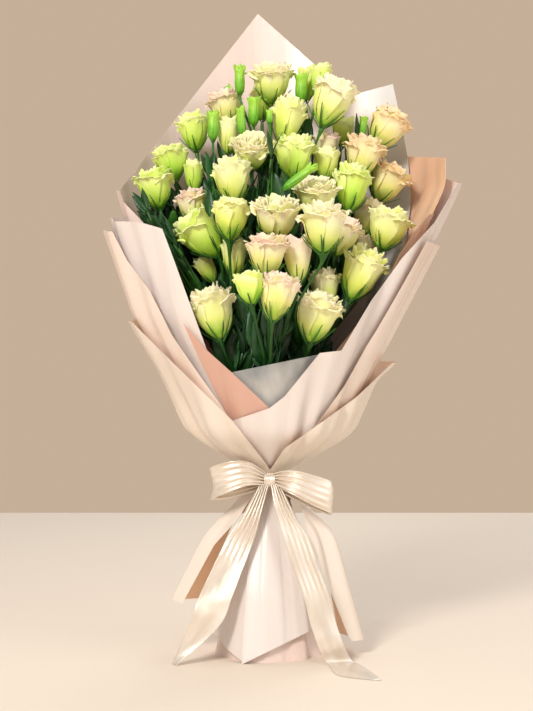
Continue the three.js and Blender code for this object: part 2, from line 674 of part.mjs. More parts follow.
// Drops the points that a stem can do without.
function simplified(points, radius, own) {
  const kept = [points[0]];
  for (let i = 1; i < points.length - 2; i += 1) {
    const [last, here, next] = [kept[kept.length - 1], points[i], points[i + 1]];
    const now = Math.max(lacking(last, here, radius, own), lacking(here, next, radius, own));
    if (lacking(last, next, radius, own) > now + 0.2) kept.push(here);
  }
  return [...kept, ...points.slice(-2)];
}

function waistPlace({ place }) {
  if (place === null) return V();
  const ring = 2 * MAIN_STEM + SEAT_GAP;
  return V(ring * Math.cos(place * DEG), ring * Math.sin(place * DEG), 0);
}

function mainStemPoints(stem, top) {
  const waist = waistPlace(stem);
  const foot = waist.clone().multiplyScalar(FOOT_SPREAD);
  const points = [foot, waist.clone().setZ(WAIST_LOW), waist.clone().setZ(WAIST_HIGH)];
  points.push(onHeading(stem.heads, FORK));
  const STEPS = 3;
  for (let i = 1; i <= STEPS; i += 1) {
    points.push(onHeading(stem.heads, FORK + (top - FORK) * i / STEPS));
  }
  return points;
}

// The ways that a branch can take from its main stem to its bloom, bowed out to all sides, with the
// clearest of them first.
function branchWays(stem, one, start, ending) {
  const axis = axisOf(one);
  const neck = baseOf(one).addScaledVector(axis, -NECK * (one.isBud ? 0.4 : 1));
  const end = baseOf(one).addScaledVector(axis, ending);
  const towards = [neck.x / (neck.z - STEM_APEX), neck.y / (neck.z - STEM_APEX)];
  const STEPS = 10;
  const WAYS = 8;
  const BOWS = [0, 20, 40, 60];
  const ways = [];
  for (let way = 0; way < WAYS * BOWS.length; way += 1) {
    const turn = 2 * Math.PI * way / WAYS;
    const points = [];
    for (let i = 0; i < STEPS; i += 1) {
      const share = i / STEPS;
      const heads = stem.heads.map((value, k) => value + (towards[k] - value) * share);
      const bow = BOWS[Math.floor(way / WAYS)] * Math.sin(Math.PI * share);
      const point = onHeading(heads, start + (neck.z - start) * share);
      points.push(point.add(V(bow * Math.cos(turn), bow * Math.sin(turn), 0)));
    }
    bendClear(points, BRANCH, one);
    points.push(neck, end);
    const lack = points.slice(1).reduce((sum, point, i) => sum + lacking(points[i], point, BRANCH, one), 0);
    ways.push({ points, lack });
  }
  return ways.sort((a, b) => a.lack - b.lack).map(({ points }) => simplified(points, BRANCH, one));
}

// Whether a piece of green is clear of every bloom.
function fits(geometry) {
  const piece = solid(geometry);
  return Object.values(blooms).every((bloom) => !meets(piece, bloom.body));
}

function branchRod(points, one) {
  return rod(points, BRANCH, one.isBud ? BRANCH : CALYX * one.width, 4);
}

function branchPoints(stem, one, start) {
  const ways = branchWays(stem, one, start, one.isBud ? BRANCH : -SEAT_GAP);
  return ways.find((points) => fits(branchRod(points, one))) ?? ways[0];
}

// One narrow sepal outside the cup of a bloom, from its calyx, at a turn round it.
function sepal(bloom, turn) {
  const { width, tall } = bloom;
  const out = V(Math.cos(turn), Math.sin(turn), 0);
  const side = V(-out.y, out.x, 0);
  const at = (radius, height, aside) => ({
    at: out.clone().multiplyScalar(radius).addScaledVector(side, aside).setZ(height), out,
  });
  const HALF = 1.3;
  const middle = (aside) => at(0.33 * width + 1.5, 0.15 * tall, aside);
  const rows = [[at(0.04 * width, -4, 0)], [middle(-HALF), middle(0), middle(HALF)],
    [at(0.5 * width + 1.5, 0.5 * tall, 0)]];
  const geometry = blade(rows, SEPAL).applyMatrix4(standing(bloom));
  const tip = rows[2][0].at.clone().applyMatrix4(standing(bloom));
  return { geometry, tip };
}

function budGeometry(bud) {
  const outline = [[0, 0], [0.42, 0.2], [0.42, 0.7], [0.5, 1], [0, 0.94]];
  return new THREE.LatheGeometry(
    outline.map(([radius, height]) => new THREE.Vector2(radius * bud.width, height * bud.tall)), 5,
  ).rotateX(Math.PI / 2).applyMatrix4(standing(bud));
}

// A leaf from its root to its tip, arched a little towards `out`.
function leafGeometry(root, tip, width, out) {
  const along = tip.clone().sub(root);
  const side = along.clone().cross(out).normalize().multiplyScalar(width / 2);
  const face = side.clone().cross(along).normalize();
  const arch = along.length() * 0.08;
  const row = (share, wide, lift) => [-1, 0, 1].map((edge) => ({
    at: root.clone().addScaledVector(along, share).addScaledVector(side, edge * wide)
      .addScaledVector(face, lift * arch - Math.abs(edge) * arch * 0.5),
    out: face,
  }));
  return blade([[{ at: root, out: face }], row(0.35, 1, 0.8), row(0.7, 0.8, 0.9),
    [{ at: tip, out: face }]], LEAF);
}

function isClear(point, margin) {
  return obstacles.every(({ at, radius }) => at.distanceTo(point) > radius + margin);
}

// Whether a point lies inside the innermost sheet.
function isWrapped(point, margin) {
  const size = wrapAt(point.z);
  const across = (point.x > 0 ? size.right : size.left) - margin;
  const deep = (point.y > 0 ? size.back : size.front) - margin;
  return (point.x / across) ** 2 + (point.y / deep) ** 2 < 1;
}

// A leaf on a stem, if one can stand there clear of blooms, paper and the other nodes.
function leafOn(points, seed, taken, own) {
  const TRIES = 8;
  for (let i = 0; i < TRIES; i += 1) {
    const share = 0.25 + 0.6 * scatter(seed + 3 * i);
    const along = share * (points.length - 2);
    const root = points[Math.floor(along)].clone().lerp(points[Math.floor(along) + 1], along % 1);
    const turn = 2.4 * (i + 3 * seed);
    const out = V(Math.cos(turn), Math.sin(turn), 0);
    const length = LEAF_LENGTHS[0] + (LEAF_LENGTHS[1] - LEAF_LENGTHS[0]) * scatter(seed + i);
    const tip = root.clone().addScaledVector(out, length * 0.45).add(V(0, 0, length * 0.85));
    const middle = root.clone().lerp(tip, 0.55).addScaledVector(out, length * 0.05);
    const spots = [middle, tip, root.clone().lerp(tip, 0.8)];
    const near = (spot) => taken.some(({ at, of }) => at.distanceTo(spot) < (of === own ? 6 : 14));
    if (spots.every((spot) => isClear(spot, 5) && isWrapped(spot, 8) && !near(spot))) {
      for (const at of spots) taken.push({ at, of: own });
      return [leafGeometry(root, tip, length * LEAF_WIDTH, out)];
    }
  }
  return [];
}

function growStems() {
  const routes = {};
  const taken = [];
  for (const [name, stem] of Object.entries(LEAFY_STEMS)) {
    const members = Object.entries(flowers).filter(([, one]) => nearestStem(one) === name);
    const forks = members.map(([, one]) => FORK + FORK_SHARE * (baseOf(one).z - FORK));
    const main = mainStemPoints(stem, Math.max(...forks));
    const branches = members.map(([, one], i) => branchPoints(stem, one, forks[i]));
    routes[name] = { members, main, branches };
    for (const points of [main, ...branches]) {
      points.slice(0, -1).forEach((start, i) => {
        for (const share of [0, 0.25, 0.5, 0.75]) {
          taken.push({ at: start.clone().lerp(points[i + 1], share), of: name });
        }
      });
    }
  }
  return Object.entries(routes).map(([name, { members, main, branches }], index) => {
    const parts = [rod(main, MAIN_STEM, MAIN_STEM, 5)];
    for (const [stem, height, across, up, depth, width] of FRONT_LEAVES) {
      if (stem !== name) continue;
      const root = onHeading(LEAFY_STEMS[name].heads, height);
      const leaf = leafGeometry(root, seen(across, up, depth), width, V(0, -1, 0.2));
      parts.push(leaf);
    }
    branches.forEach((points, i) => {
      const one = members[i][1];
      parts.push(branchRod(points, one));
      if (i % 2 === 0) parts.push(...leafOn(points, index + 2 * i, taken, name).filter(fits));
      if (one.isBud) parts.push(budGeometry(one));
      if (one.isBud || one.depth > -20) return;
      for (let k = 0; k < 4; k += 1) {
        const { geometry, tip } = sepal(one, Math.PI * k / 2 + i);
        if (isClear(tip, 2.5) && fits(geometry)) parts.push(geometry);
      }
    });
    return { name, body: join(parts.map(solid)) };
  });
}

// ---------------------------------------------------------------- ribbon

const KNOT = { at: V(2, -33, 209), size: V(10, 8.6, 12) };
// Loops of the bow as the middle line of the ribbon, from the front of the knot round to its back.
const LOOPS = [
  [V(-2, -34, 211), V(-24, -47, 218), V(-46, -49, 214), V(-66, -38, 206), V(-64, -24, 202),
    V(-42, -24, 201), V(-4, -29, 206)],
  [V(6, -34, 211), V(28, -48, 208), V(52, -50, 199), V(73, -43, 190), V(70, -34, 187),
    V(46, -33, 193), V(8, -31, 205)],
];
const LOOP_WIDTH = 36;
const PINCHED = 9;                // width of the ribbon where the knot gathers it
// Tails as their left and right edges, each as across, up and depth, and null for the depth where the
// ribbon lies on the table.
const TAILS = [
  [[-9, 205, -34, 1, 203, -34], [-28, 168, -47, -8, 168, -47], [-50, 134, -55, -17, 134, -52],
    [-68, 98, -63, -31, 98, -60], [-84, 64, -68, -44, 64, -67], [-92, 40, -72, -59, 31, -73],
    [-115, -14, null, -110, -16, null]],
  [[3, 204, -35, 14, 202, -35], [7, 178, -47, 32, 166, -47], [14, 152, -52, 49, 134, -54],
    [28, 108, -60, 59, 105, -60], [43, 64, -67, 70, 76, -66], [52, 30, -71, 80, 40, -70],
    [62, 2, -76, 90, 11, -74], [72, -15, null, 102, -12, null], [85, -28, null, 118, -20, null],
    [131, -34, null, 136, -33, null]],
];
const TABLE_GAP = 0.05;

// The place on the table, half a ribbon's thickness up, that is seen at a place.
function onTable(across, up) {
  const height = RIBBON / 2 + TABLE_GAP;
  const nearer = (EYE_HEIGHT - height) / (EYE_HEIGHT - up);
  return V(across * nearer, (nearer - 1) * EYE_DISTANCE, height);
}

// A flat strip between two edges, given as rows of [left, right].
function strip(rows, thickness) {
  const corners = [];
  const faces = [];
  const last = rows.length - 1;
  const middle = rows.map(([left, right]) => left.clone().add(right).multiplyScalar(0.5));
  rows.forEach(([left, right], i) => {
    const along = middle[Math.min(i + 1, last)].clone().sub(middle[Math.max(i - 1, 0)]);
    const out = right.clone().sub(left).cross(along).normalize().multiplyScalar(thickness / 2);
    corners.push(left.clone().add(out), right.clone().add(out));
    corners.push(right.clone().sub(out), left.clone().sub(out));
  });
  for (let i = 0; i < last; i += 1) {
    for (let k = 0; k < 4; k += 1) {
      const [a, b] = [4 * i + k, 4 * i + (k + 1) % 4];
      faces.push([a, b, b + 4], [a, b + 4, a + 4]);
    }
  }
  const end = 4 * last;
  faces.push([0, 2, 1], [0, 3, 2], [end, end + 1, end + 2], [end, end + 2, end + 3]);
  return closed(corners, faces);
}

function loopRows(points) {
  const STEPS = 11;
  const curve = new THREE.CatmullRomCurve3(points);
  return Array.from({ length: STEPS + 1 }, (_, i) => {
    const share = i / STEPS;
    const half = (PINCHED + (LOOP_WIDTH - PINCHED) * Math.sin(Math.PI * share) ** 0.7) / 2;
    const at = curve.getPoint(share);
    return [at.clone().add(V(0, 0, half)), at.clone().add(V(0, 0, -half))];
  });
}

function tailRows(rows) {
  const place = (across, up, depth) => (depth === null ? onTable(across, up) : seen(across, up, depth));
  return rows.map((row) => [place(...row.slice(0, 3)), place(...row.slice(3))]);
}

function ribbonSolid() {
  const knot = new THREE.SphereGeometry(1, 8, 6);
  knot.scale(KNOT.size.x, KNOT.size.y, KNOT.size.z).translate(KNOT.at.x, KNOT.at.y, KNOT.at.z);
  const band = wall(SHEETS.length, [WAIST_LOW + 2, WAIST_HIGH - 2], RIBBON);
  const strips = [...LOOPS.map(loopRows), ...TAILS.map(tailRows)];
  return join([band, solid(knot), ...strips.map((rows) => solid(strip(rows, RIBBON)))]);
}

// ---------------------------------------------------------------- the bouquet

const group = new THREE.Group();
group.name = 'lisianthus_bouquet';

for (const [name, bloom] of Object.entries(blooms)) {
  group.add(node(`bloom_${name}`, bloom.body, COLOURS[bloom.colour], 0.6));
}
for (const { name, body } of growStems()) {
  group.add(node(name, body, COLOURS.leaf, 0.55));
}
SHEETS.forEach((sheet, layer) => {
  group.add(node(sheet.name, sheetSolid(sheet, layer), sheet.colour, 0.5));
});
group.add(node('satin_ribbon', ribbonSolid(), '#e6cdb4', 0.35));

export default group;
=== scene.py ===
"""A wrapped bouquet of double lisianthus, dressed over its solids.

Lengths are in millimetres until a mesh is made, and in metres from there on. The front faces -Y. A place
"as seen" is given across from the middle and up from the table, at the scale of the plane through the axis,
and `seen` carries it to a depth.
"""
import logging
import math
from dataclasses import dataclass, field
from enum import Enum
from typing import Any, Iterable, Sequence

import bmesh
import bpy
import numpy as np
from mathutils import Matrix, Vector
from mathutils.kdtree import KDTree


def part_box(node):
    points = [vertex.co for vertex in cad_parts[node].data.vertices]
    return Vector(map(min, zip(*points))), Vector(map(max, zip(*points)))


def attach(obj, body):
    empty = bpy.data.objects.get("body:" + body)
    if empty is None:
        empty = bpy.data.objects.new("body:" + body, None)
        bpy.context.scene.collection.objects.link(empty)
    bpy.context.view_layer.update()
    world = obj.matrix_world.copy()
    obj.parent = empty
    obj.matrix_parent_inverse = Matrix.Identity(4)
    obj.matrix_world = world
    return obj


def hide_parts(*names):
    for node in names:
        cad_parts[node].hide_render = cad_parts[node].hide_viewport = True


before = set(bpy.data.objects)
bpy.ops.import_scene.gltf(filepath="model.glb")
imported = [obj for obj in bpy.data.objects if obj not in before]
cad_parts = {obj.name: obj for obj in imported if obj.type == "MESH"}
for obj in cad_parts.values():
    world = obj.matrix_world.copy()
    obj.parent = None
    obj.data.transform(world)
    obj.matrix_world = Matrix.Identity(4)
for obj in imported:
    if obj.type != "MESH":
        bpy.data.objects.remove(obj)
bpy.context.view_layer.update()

LOG = logging.getLogger("bouquet")
METRE = 0.001
EYE_DISTANCE = 1750.0
EYE_HEIGHT = 356.0
EYE_ACROSS = -1.8
FOCAL_PIXELS = 1458.0
PHOTO_HEIGHT = 711.0
FAR = 300.0
HIDDEN_HEM = 165.0
ABOVE_SEEN = 45.0
WAIST_LOW = 200.0
WAIST_HIGH = 216.0
LAYER_PITCH = 1.45
PAPER = 0.5
RIBBON = 0.6
PETAL = 0.42
LEAF_BLADE = 0.55
FULL_WIDTH = 37
Outline = list[tuple[float, float]]


def seen(across: float, up: float, depth: float) -> Vector:
    """Carry a place as seen to a depth.

    Args:
        across: To the right of the middle.
        up: Above the table.
        depth: Along +Y.

    Returns:
        The place in space.
    """
    nearer = 1 + depth / EYE_DISTANCE
    return Vector((across * nearer, depth, EYE_HEIGHT + (up - EYE_HEIGHT) * nearer))


def placed(name: str, data: Any) -> bpy.types.Object:
    """Return a new object on some data, linked into the scene."""
    made = bpy.data.objects.new(name, data)
    bpy.context.scene.collection.objects.link(made)
    return made


def facing(lean: float, nod: float) -> Vector:
    """Return the way that a bloom or bud faces.

    Args:
        lean: Degrees to the right.
        nod: Degrees to the front.

    Returns:
        The unit vector.
    """
    side, down = math.radians(lean), math.radians(nod)
    return Vector((math.sin(side) * math.cos(down), -math.sin(down), math.cos(side) * math.cos(down)))


def smooth_step(low: float, high: float, value: Any) -> Any:
    """Return 0 below low, 1 above high and a smooth rise between."""
    share = np.clip((value - low) / (high - low), 0, 1)
    return share * share * (3 - 2 * share)


# ------------------------------------------------------------------ shader maths


class Socket:
    """A socket of a node tree, with operators that add Math nodes."""

    def __init__(self, tree: "Tree", socket: bpy.types.NodeSocket) -> None:
        """Keep the tree and the socket."""
        self.tree = tree
        self.socket = socket

    def _maths(self, operation: str, one: Any, other: Any) -> "Socket":
        """Add a Math node on two values."""
        return self.tree.node("ShaderNodeMath", {"operation": operation}, {0: one, 1: other})

    def __add__(self, other: Any) -> "Socket":
        """Add."""
        return self._maths("ADD", self, other)

    def __radd__(self, other: Any) -> "Socket":
        """Add, the other way round."""
        return self._maths("ADD", other, self)

    def __sub__(self, other: Any) -> "Socket":
        """Subtract."""
        return self._maths("SUBTRACT", self, other)

    def __rsub__(self, other: Any) -> "Socket":
        """Subtract this from a number."""
        return self._maths("SUBTRACT", other, self)

    def __mul__(self, other: Any) -> "Socket":
        """Multiply."""
        return self._maths("MULTIPLY", self, other)

    def within(self, low: float, high: float) -> "Socket":
        """Return 0 below low and 1 above high, smoothly."""
        return self.tree.node(
            "ShaderNodeMapRange", {"interpolation_type": "SMOOTHSTEP"}, {"Value": self, 1: low, 2: high}
        )


class Tree:
    """The node tree of one material."""

    def __init__(self, name: str) -> None:
        """Make an empty material of that name."""
        self.material = bpy.data.materials.new(name)
        self.material.use_nodes = True
        self.tree = self.material.node_tree
        self.tree.nodes.clear()

    @staticmethod
    def _find(sockets: Any, key: Any) -> bpy.types.NodeSocket:
        """Find a socket by number, identifier or name."""
        if isinstance(key, int):
            return sockets[key]
        for socket in sockets:
            if socket.identifier == key:
                return socket
        return sockets[key]

    def node(
        self, kind: str, settings: dict[str, Any] | None = None, inputs: dict[Any, Any] | None = None,
        out: Any = 0,
    ) -> Socket:
        """Add a node.

        Args:
            kind: The node's type.
            settings: Its properties. `stops` are a colour ramp's.
            inputs: Values or sockets for its inputs.
            out: The output that is wanted.

        Returns:
            That output.
        """
        made = self.tree.nodes.new(kind)
        for key, value in (settings or {}).items():
            if key == "stops":
                ramp = made.color_ramp
                while len(ramp.elements) < len(value):
                    ramp.elements.new(0.5)
                for element, (place, colour) in zip(ramp.elements, value):
                    element.position = place
                    element.color = (*colour, 1)
            else:
                setattr(made, key, value)
        for key, value in (inputs or {}).items():
            target = self._find(made.inputs, key)
            if isinstance(value, Socket):
                self.tree.links.new(value.socket, target)
            elif isinstance(value, tuple) and len(value) == 3 and target.type == "RGBA":
                target.default_value = (*value, 1)
            else:
                target.default_value = value
        return Socket(self, self._find(made.outputs, out))

    def mix(self, factor: Any, one: Any, other: Any, blend: str = "MIX") -> Socket:
        """Mix two colours."""
        return self.node(
            "ShaderNodeMix",
            {"data_type": "RGBA", "blend_type": blend},
            {"Factor_Float": factor, "A_Color": one, "B_Color": other},
            "Result_Color",
        )

    def place(self, stretch: tuple[float, float, float] = (1, 1, 1)) -> Socket:
        """Return the place on the object, stretched along its axes."""
        where = self.node("ShaderNodeTexCoord", out="Object")
        return self.node("ShaderNodeMapping", {}, {"Vector": where, "Scale": stretch})

    def on_uv(self, stretch: tuple[float, float, float]) -> Socket:
        """Return the place on the piece's own map, stretched."""
        where = self.node("ShaderNodeUVMap", {"uv_map": "UVMap"})
        return self.node("ShaderNodeMapping", {}, {"Vector": where, "Scale": stretch})

    def noise(self, where: Socket, scale: float, detail: float = 2.0, rough: float = 0.5) -> Socket:
        """Return a noise at a place."""
        return self.node(
            "ShaderNodeTexNoise", {}, {"Vector": where, "Scale": scale, "Detail": detail, "Roughness": rough}
        )

    def shade(self, colour: Any, roughness: Any, bump: Socket | None, depth: float, **fixed: float) -> None:
        """Finish the material with one surface.

        Args:
            colour: Base colour.
            roughness: Roughness.
            bump: Height for the relief.
            depth: How high the relief is, in metres.
            fixed: Plain numbers for the surface's other sockets.
        """
        inputs: dict[Any, Any] = {"Base Color": colour, "Roughness": roughness}
        if bump is not None:
            relief = {"Height": bump, "Distance": depth, "Strength": 0.6}
            inputs["Normal"] = self.node("ShaderNodeBump", {}, relief)
        inputs.update({key.replace("_", " "): value for key, value in fixed.items()})
        surface = self.node("ShaderNodeBsdfPrincipled", {}, inputs)
        end = self.tree.nodes.new("ShaderNodeOutputMaterial")
        self.tree.links.new(surface.socket, end.inputs["Surface"])


# ------------------------------------------------------------------ finishes

Colour = tuple[float, float, float]


def from_screen(code: str) -> Colour:
    """Turn a screen colour such as #aabbcc into linear light."""
    values = [int(code[i : i + 2], 16) / 255 for i in (1, 3, 5)]
    return tuple(v / 12.92 if v <= 0.04045 else ((v + 0.055) / 1.055) ** 2.4 for v in values)


@dataclass(frozen=True)
class PetalFinish:
    """A petal that goes from green at its foot to its own colour at the rim."""

    name: str
    foot: str
    body: str
    upper: str
    rim: str

    def material(self) -> bpy.types.Material:
        """Make the material."""
        tree = Tree(self.name)
        along = tree.node("ShaderNodeAttribute", {"attribute_name": "along"}, out="Fac")
        tint = tree.node("ShaderNodeAttribute", {"attribute_name": "tint"}, out="Fac")
        cloud = tree.noise(tree.place(), 55, 2)
        veins = tree.noise(tree.on_uv((26, 1.6, 1)), 1.0, 3, 0.6)
        share = along + (cloud - 0.5) * 0.42 + tint * 0.16 + (veins - 0.5) * 0.16
        stops = [
            (0.05, from_screen(self.foot)),
            (0.42, from_screen(self.body)),
            (0.78, from_screen(self.upper)),
            (1.0, from_screen(self.rim)),
        ]
        colour = tree.node("ShaderNodeValToRGB", {"stops": stops}, {"Fac": share})
        shaded = tree.mix((veins.within(0.35, 0.75)) * 0.16, colour, from_screen(self.body), "MULTIPLY")
        tree.shade(
            shaded, 0.6 - along * 0.08, veins, 0.0006,
            Subsurface_Weight=0.15, Subsurface_Scale=0.005, Subsurface_Radius=(1.0, 0.9, 0.4),
            Specular_IOR_Level=0.22,
        )
        return tree.material


@dataclass(frozen=True)
class LeafFinish:
    """A leaf or stem, with a pale rib where its map has one."""

    name: str
    deep: str
    light: str
    rib: str

    def material(self) -> bpy.types.Material:
        """Make the material."""
        tree = Tree(self.name)
        fresh = tree.node("ShaderNodeAttribute", {"attribute_name": "along"}, out="Fac")
        rib = tree.node("ShaderNodeAttribute", {"attribute_name": "rib"}, out="Fac")
        cloud = tree.noise(tree.place(), 90, 3)
        fine = tree.noise(tree.place((1, 1, 0.3)), 900, 2)
        spot = tree.node("ShaderNodeAttribute", {"attribute_name": "fresh"}, out="Fac")
        share = (fresh + spot + (cloud - 0.5) * 0.7).within(0.0, 1.4)
        green = tree.mix(share, from_screen(self.deep), from_screen(self.light))
        colour = tree.mix(((rib - 0.6) * 2.5).within(0.0, 1.0) * 0.7, green, from_screen(self.rib))
        tree.shade(
            colour, 0.42 + (cloud - 0.5) * 0.2, fine + rib * 1.5, 0.0003,
            Subsurface_Weight=0.05, Subsurface_Scale=0.003, Specular_IOR_Level=0.45,
        )
        return tree.material


@dataclass(frozen=True)
class PaperFinish:
    """Satin-faced wrapping paper, with soft clouds of a second tone and fine creases that carry a little
    painted shade.
    """

    name: str
    face: str
    glow: str
    mottled: float = 0.25
    roughness: float = 0.36
    patches: float = 9.0

    def material(self) -> bpy.types.Material:
        """Make the material."""
        tree = Tree(self.name)
        cloud = tree.noise(tree.place((1, 1, 0.45)), self.patches, 3)
        fold = tree.node("ShaderNodeAttribute", {"attribute_name": "fold"}, out="Vector")
        stretched = {"Vector": fold, "Scale": (2.6, 2.6, 1.7)}
        round_wrap = tree.node("ShaderNodeMapping", {}, stretched, out="Vector")
        creases = tree.noise(round_wrap, 1.0, 3, 0.5)
        grain = tree.noise(tree.place(), 1400, 1)
        # The crease noise also pulls the colour a little toward the darker second tone: painted shade along
        # the creases.
        blend = ((cloud - 0.35) * 2.2).within(0.0, 1.0) * self.mottled + (creases - 0.5) * 0.1
        colour = tree.mix(blend, from_screen(self.face), from_screen(self.glow))
        tree.shade(
            colour, self.roughness + (cloud - 0.5) * 0.14, creases + grain * 0.02, 0.006,
            Subsurface_Weight=0.05, Subsurface_Scale=0.004,
            Specular_IOR_Level=0.6, Coat_Weight=0.2, Coat_Roughness=0.3,
        )
        return tree.material


@dataclass(frozen=True)
class SatinFinish:
    """Champagne satin ribbon with its weave along the ribbon, and soft clouds of painted shade in a darker
    champagne.
    """

    name: str
    face: str
    # face is the satin's lit tone; deep is the darker champagne of its painted shade.
    deep: str

    def material(self) -> bpy.types.Material:
        """Make the material."""
        tree = Tree(self.name)
        weave = tree.noise(tree.on_uv((260, 8, 1)), 1.0, 2)
        cloud = tree.noise(tree.on_uv((2.5, 4, 1)), 1.0, 2)
        # Painted shade: the clouds pull the lit champagne face toward the darker, shaded champagne.
        shade = (cloud - 0.3).within(0.0, 0.5) * 0.5
        colour = tree.mix(shade, from_screen(self.face), from_screen(self.deep))
        tree.shade(
            colour, 0.3 + (weave - 0.5) * 0.1, weave + cloud * 2.0, 0.0002,
            Metallic=0.5, Specular_IOR_Level=0.8, Anisotropic=0.4, Coat_Weight=0.3, Coat_Roughness=0.2,
        )
        return tree.material


@dataclass(frozen=True)
class PlainFinish:
    """A plain matt surface for the stage."""

    name: str
    face: str

    def material(self) -> bpy.types.Material:
        """Make the material."""
        tree = Tree(self.name)
        tree.shade(from_screen(self.face), 0.75, None, 0.0)
        return tree.material


class Petals(Enum):
    """The colours of the blooms."""

    CREAM = PetalFinish("petal_cream", "#9ecc46", "#eaf286", "#fafabe", "#fdf0ce")
    YELLOW = PetalFinish("petal_yellow", "#96c83e", "#e4f06e", "#f8faa4", "#fcfac2")
    GREEN = PetalFinish("petal_green", "#82be30", "#c8ee5a", "#e8fa82", "#f8fcb4")
    BLUSH = PetalFinish("petal_blush", "#acca50", "#f2ee8e", "#fdf2c6", "#fadccc")
    PEACH = PetalFinish("petal_peach", "#acca50", "#f4ee8a", "#fdeebc", "#fadab2")


class Greens(Enum):
    """The greens of stems, leaves and buds."""

    STEM = LeafFinish("stem_green", "#1c4a16", "#589a2c", "#78b048")
    LEAF = LeafFinish("leaf_green", "#0e3016", "#2c682c", "#5c9854")
    SEPAL = LeafFinish("sepal_green", "#2a601c", "#4c8c2a", "#62a03a")
    BUD = LeafFinish("bud_green", "#5ea824", "#b2e04c", "#ccec70")


MATERIALS: dict[Any, bpy.types.Material] = {}


class Seeds(Enum):
    """The first seed of each kind's unevenness."""

    STEMS = 3
    LEAVES = 5
    WHORLS = 11
    BLOOMS = 40
    BUDS = 140
    LARGE_LEAVES = 300


# ------------------------------------------------------------------ meshes


@dataclass
class Surface:
    """A mesh as it is gathered: places, faces, map, three numbers a place and a finish a face."""

    places: list[np.ndarray] = field(default_factory=list)
    faces: list[np.ndarray] = field(default_factory=list)
    finishes: list[np.ndarray] = field(default_factory=list)
    maps: list[np.ndarray] = field(default_factory=list)
    numbers: list[np.ndarray] = field(default_factory=list)
    count: int = 0

    def add(
        self, places: np.ndarray, faces: np.ndarray, uv: np.ndarray, numbers: np.ndarray, finish: Any = 0
    ) -> None:
        """Add a part.

        Args:
            places: Corners, n by 3.
            faces: Four corner numbers each.
            uv: Map, n by 2.
            numbers: along, tint and rib, n by 3.
            finish: Number of the finish, for all or for each face.
        """
        self.places.append(places)
        self.faces.append(faces + self.count)
        self.maps.append(uv)
        self.numbers.append(numbers)
        self.finishes.append(np.broadcast_to(np.asarray(finish), (len(faces),)))
        self.count += len(places)

    def slab(
        self, grid: np.ndarray, thickness: float, along: np.ndarray, tint: float = 0.0,
        rib: np.ndarray | None = None, finish: int = 0,
    ) -> None:
        """Add a thin closed slab on a grid of places.

        Args:
            grid: Places, rows by columns by 3.
            thickness: From face to face.
            along: The `along` number of each place.
            tint: The `tint` number of the slab.
            rib: The `rib` number of each place.
            finish: Number of the finish.
        """
        rows, columns = grid.shape[:2]
        down = np.gradient(grid, axis=0)
        across = np.gradient(grid, axis=1)
        out = np.cross(across, down)
        length = np.linalg.norm(out, axis=2, keepdims=True)
        out = out / np.maximum(length, 1e-9)
        near = (grid + out * thickness / 2).reshape(-1, 3)
        far = (grid - out * thickness / 2).reshape(-1, 3)
        index = np.arange(rows * columns).reshape(rows, columns)
        a, b, c, d = index[:-1, :-1], index[:-1, 1:], index[1:, 1:], index[1:, :-1]
        front = np.stack([a, b, c, d], axis=2).reshape(-1, 4)
        total = rows * columns
        back = front[:, ::-1] + total
        edge = np.concatenate([index[0, :-1], index[:-1, -1], index[-1, :0:-1], index[:0:-1, 0]])
        after = np.roll(edge, -1)
        rim = np.stack([edge, edge + total, after + total, after], axis=1)
        u = np.broadcast_to(np.linspace(0, 1, columns)[None, :], (rows, columns))
        v = np.broadcast_to(np.linspace(0, 1, rows)[:, None], (rows, columns))
        uv = np.stack([u, v], axis=2).reshape(-1, 2)
        ribs = np.zeros_like(along) if rib is None else rib
        numbers = np.stack([along, np.full_like(along, tint), ribs], axis=2).reshape(-1, 3)
        self.add(
            np.concatenate([near, far]), np.concatenate([front, back, rim]), np.concatenate([uv, uv]),
            np.concatenate([numbers, numbers]), finish,
        )

    def tube(
        self, path: np.ndarray, radii: np.ndarray, sides: int, along: np.ndarray, finish: int = 0
    ) -> None:
        """Add a closed round tube along a path.

        Args:
            path: Places, n by 3.
            radii: Radius at each.
            sides: Corners round.
            along: The `along` number at each.
            finish: Number of the finish.
        """
        rows = len(path)
        ahead = np.gradient(path, axis=0)
        ahead /= np.linalg.norm(ahead, axis=1, keepdims=True)
        side = np.cross(np.array([0.0, 1.0, 0.0]), ahead)
        side /= np.maximum(np.linalg.norm(side, axis=1, keepdims=True), 1e-9)
        third = np.cross(ahead, side)
        turn = np.arange(sides) * 2 * math.pi / sides
        cosine, sine = np.cos(turn)[None, :, None], np.sin(turn)[None, :, None]
        ring = cosine * side[:, None, :] + sine * third[:, None, :]
        places = (path[:, None, :] + radii[:, None, None] * ring).reshape(-1, 3)
        places = np.concatenate([places, path[:1], path[-1:]])
        faces = []
        for i in range(rows - 1):
            for k in range(sides):
                a, b = i * sides + k, i * sides + (k + 1) % sides
                faces.append((a, b, b + sides, a + sides))
        low, high = rows * sides, rows * sides + 1
        top = (rows - 1) * sides
        for k in range(0, sides, 2):
            p, q, r = k, (k + 1) % sides, (k + 2) % sides
            faces.append((low, r, q, p))
            faces.append((high, top + p, top + q, top + r))
        round_it = np.tile(turn / (2 * math.pi), rows)
        uv = np.stack([round_it, np.repeat(np.linspace(0, 1, rows), sides)], axis=1)
        uv = np.concatenate([uv, [[0.5, 0.0], [0.5, 1.0]]])
        value = np.concatenate([np.repeat(along, sides), along[:1], along[-1:]])
        numbers = np.stack([value, np.zeros_like(value), np.zeros_like(value)], axis=1)
        self.add(places, np.array(faces), uv, numbers, finish)

    def turned(self, matrix: Matrix) -> "Surface":
        """Return the surface carried by a matrix."""
        turn = np.array(matrix.to_3x3())
        shift = np.array(matrix.to_translation())
        self.places = [places @ turn.T + shift for places in self.places]
        return self

    def parts(self) -> Iterable[tuple[np.ndarray, ...]]:
        """Give each part with the number of its first place."""
        start = 0
        for part in zip(self.places, self.faces, self.maps, self.numbers, self.finishes):
            yield (*part, start)
            start += len(part[0])

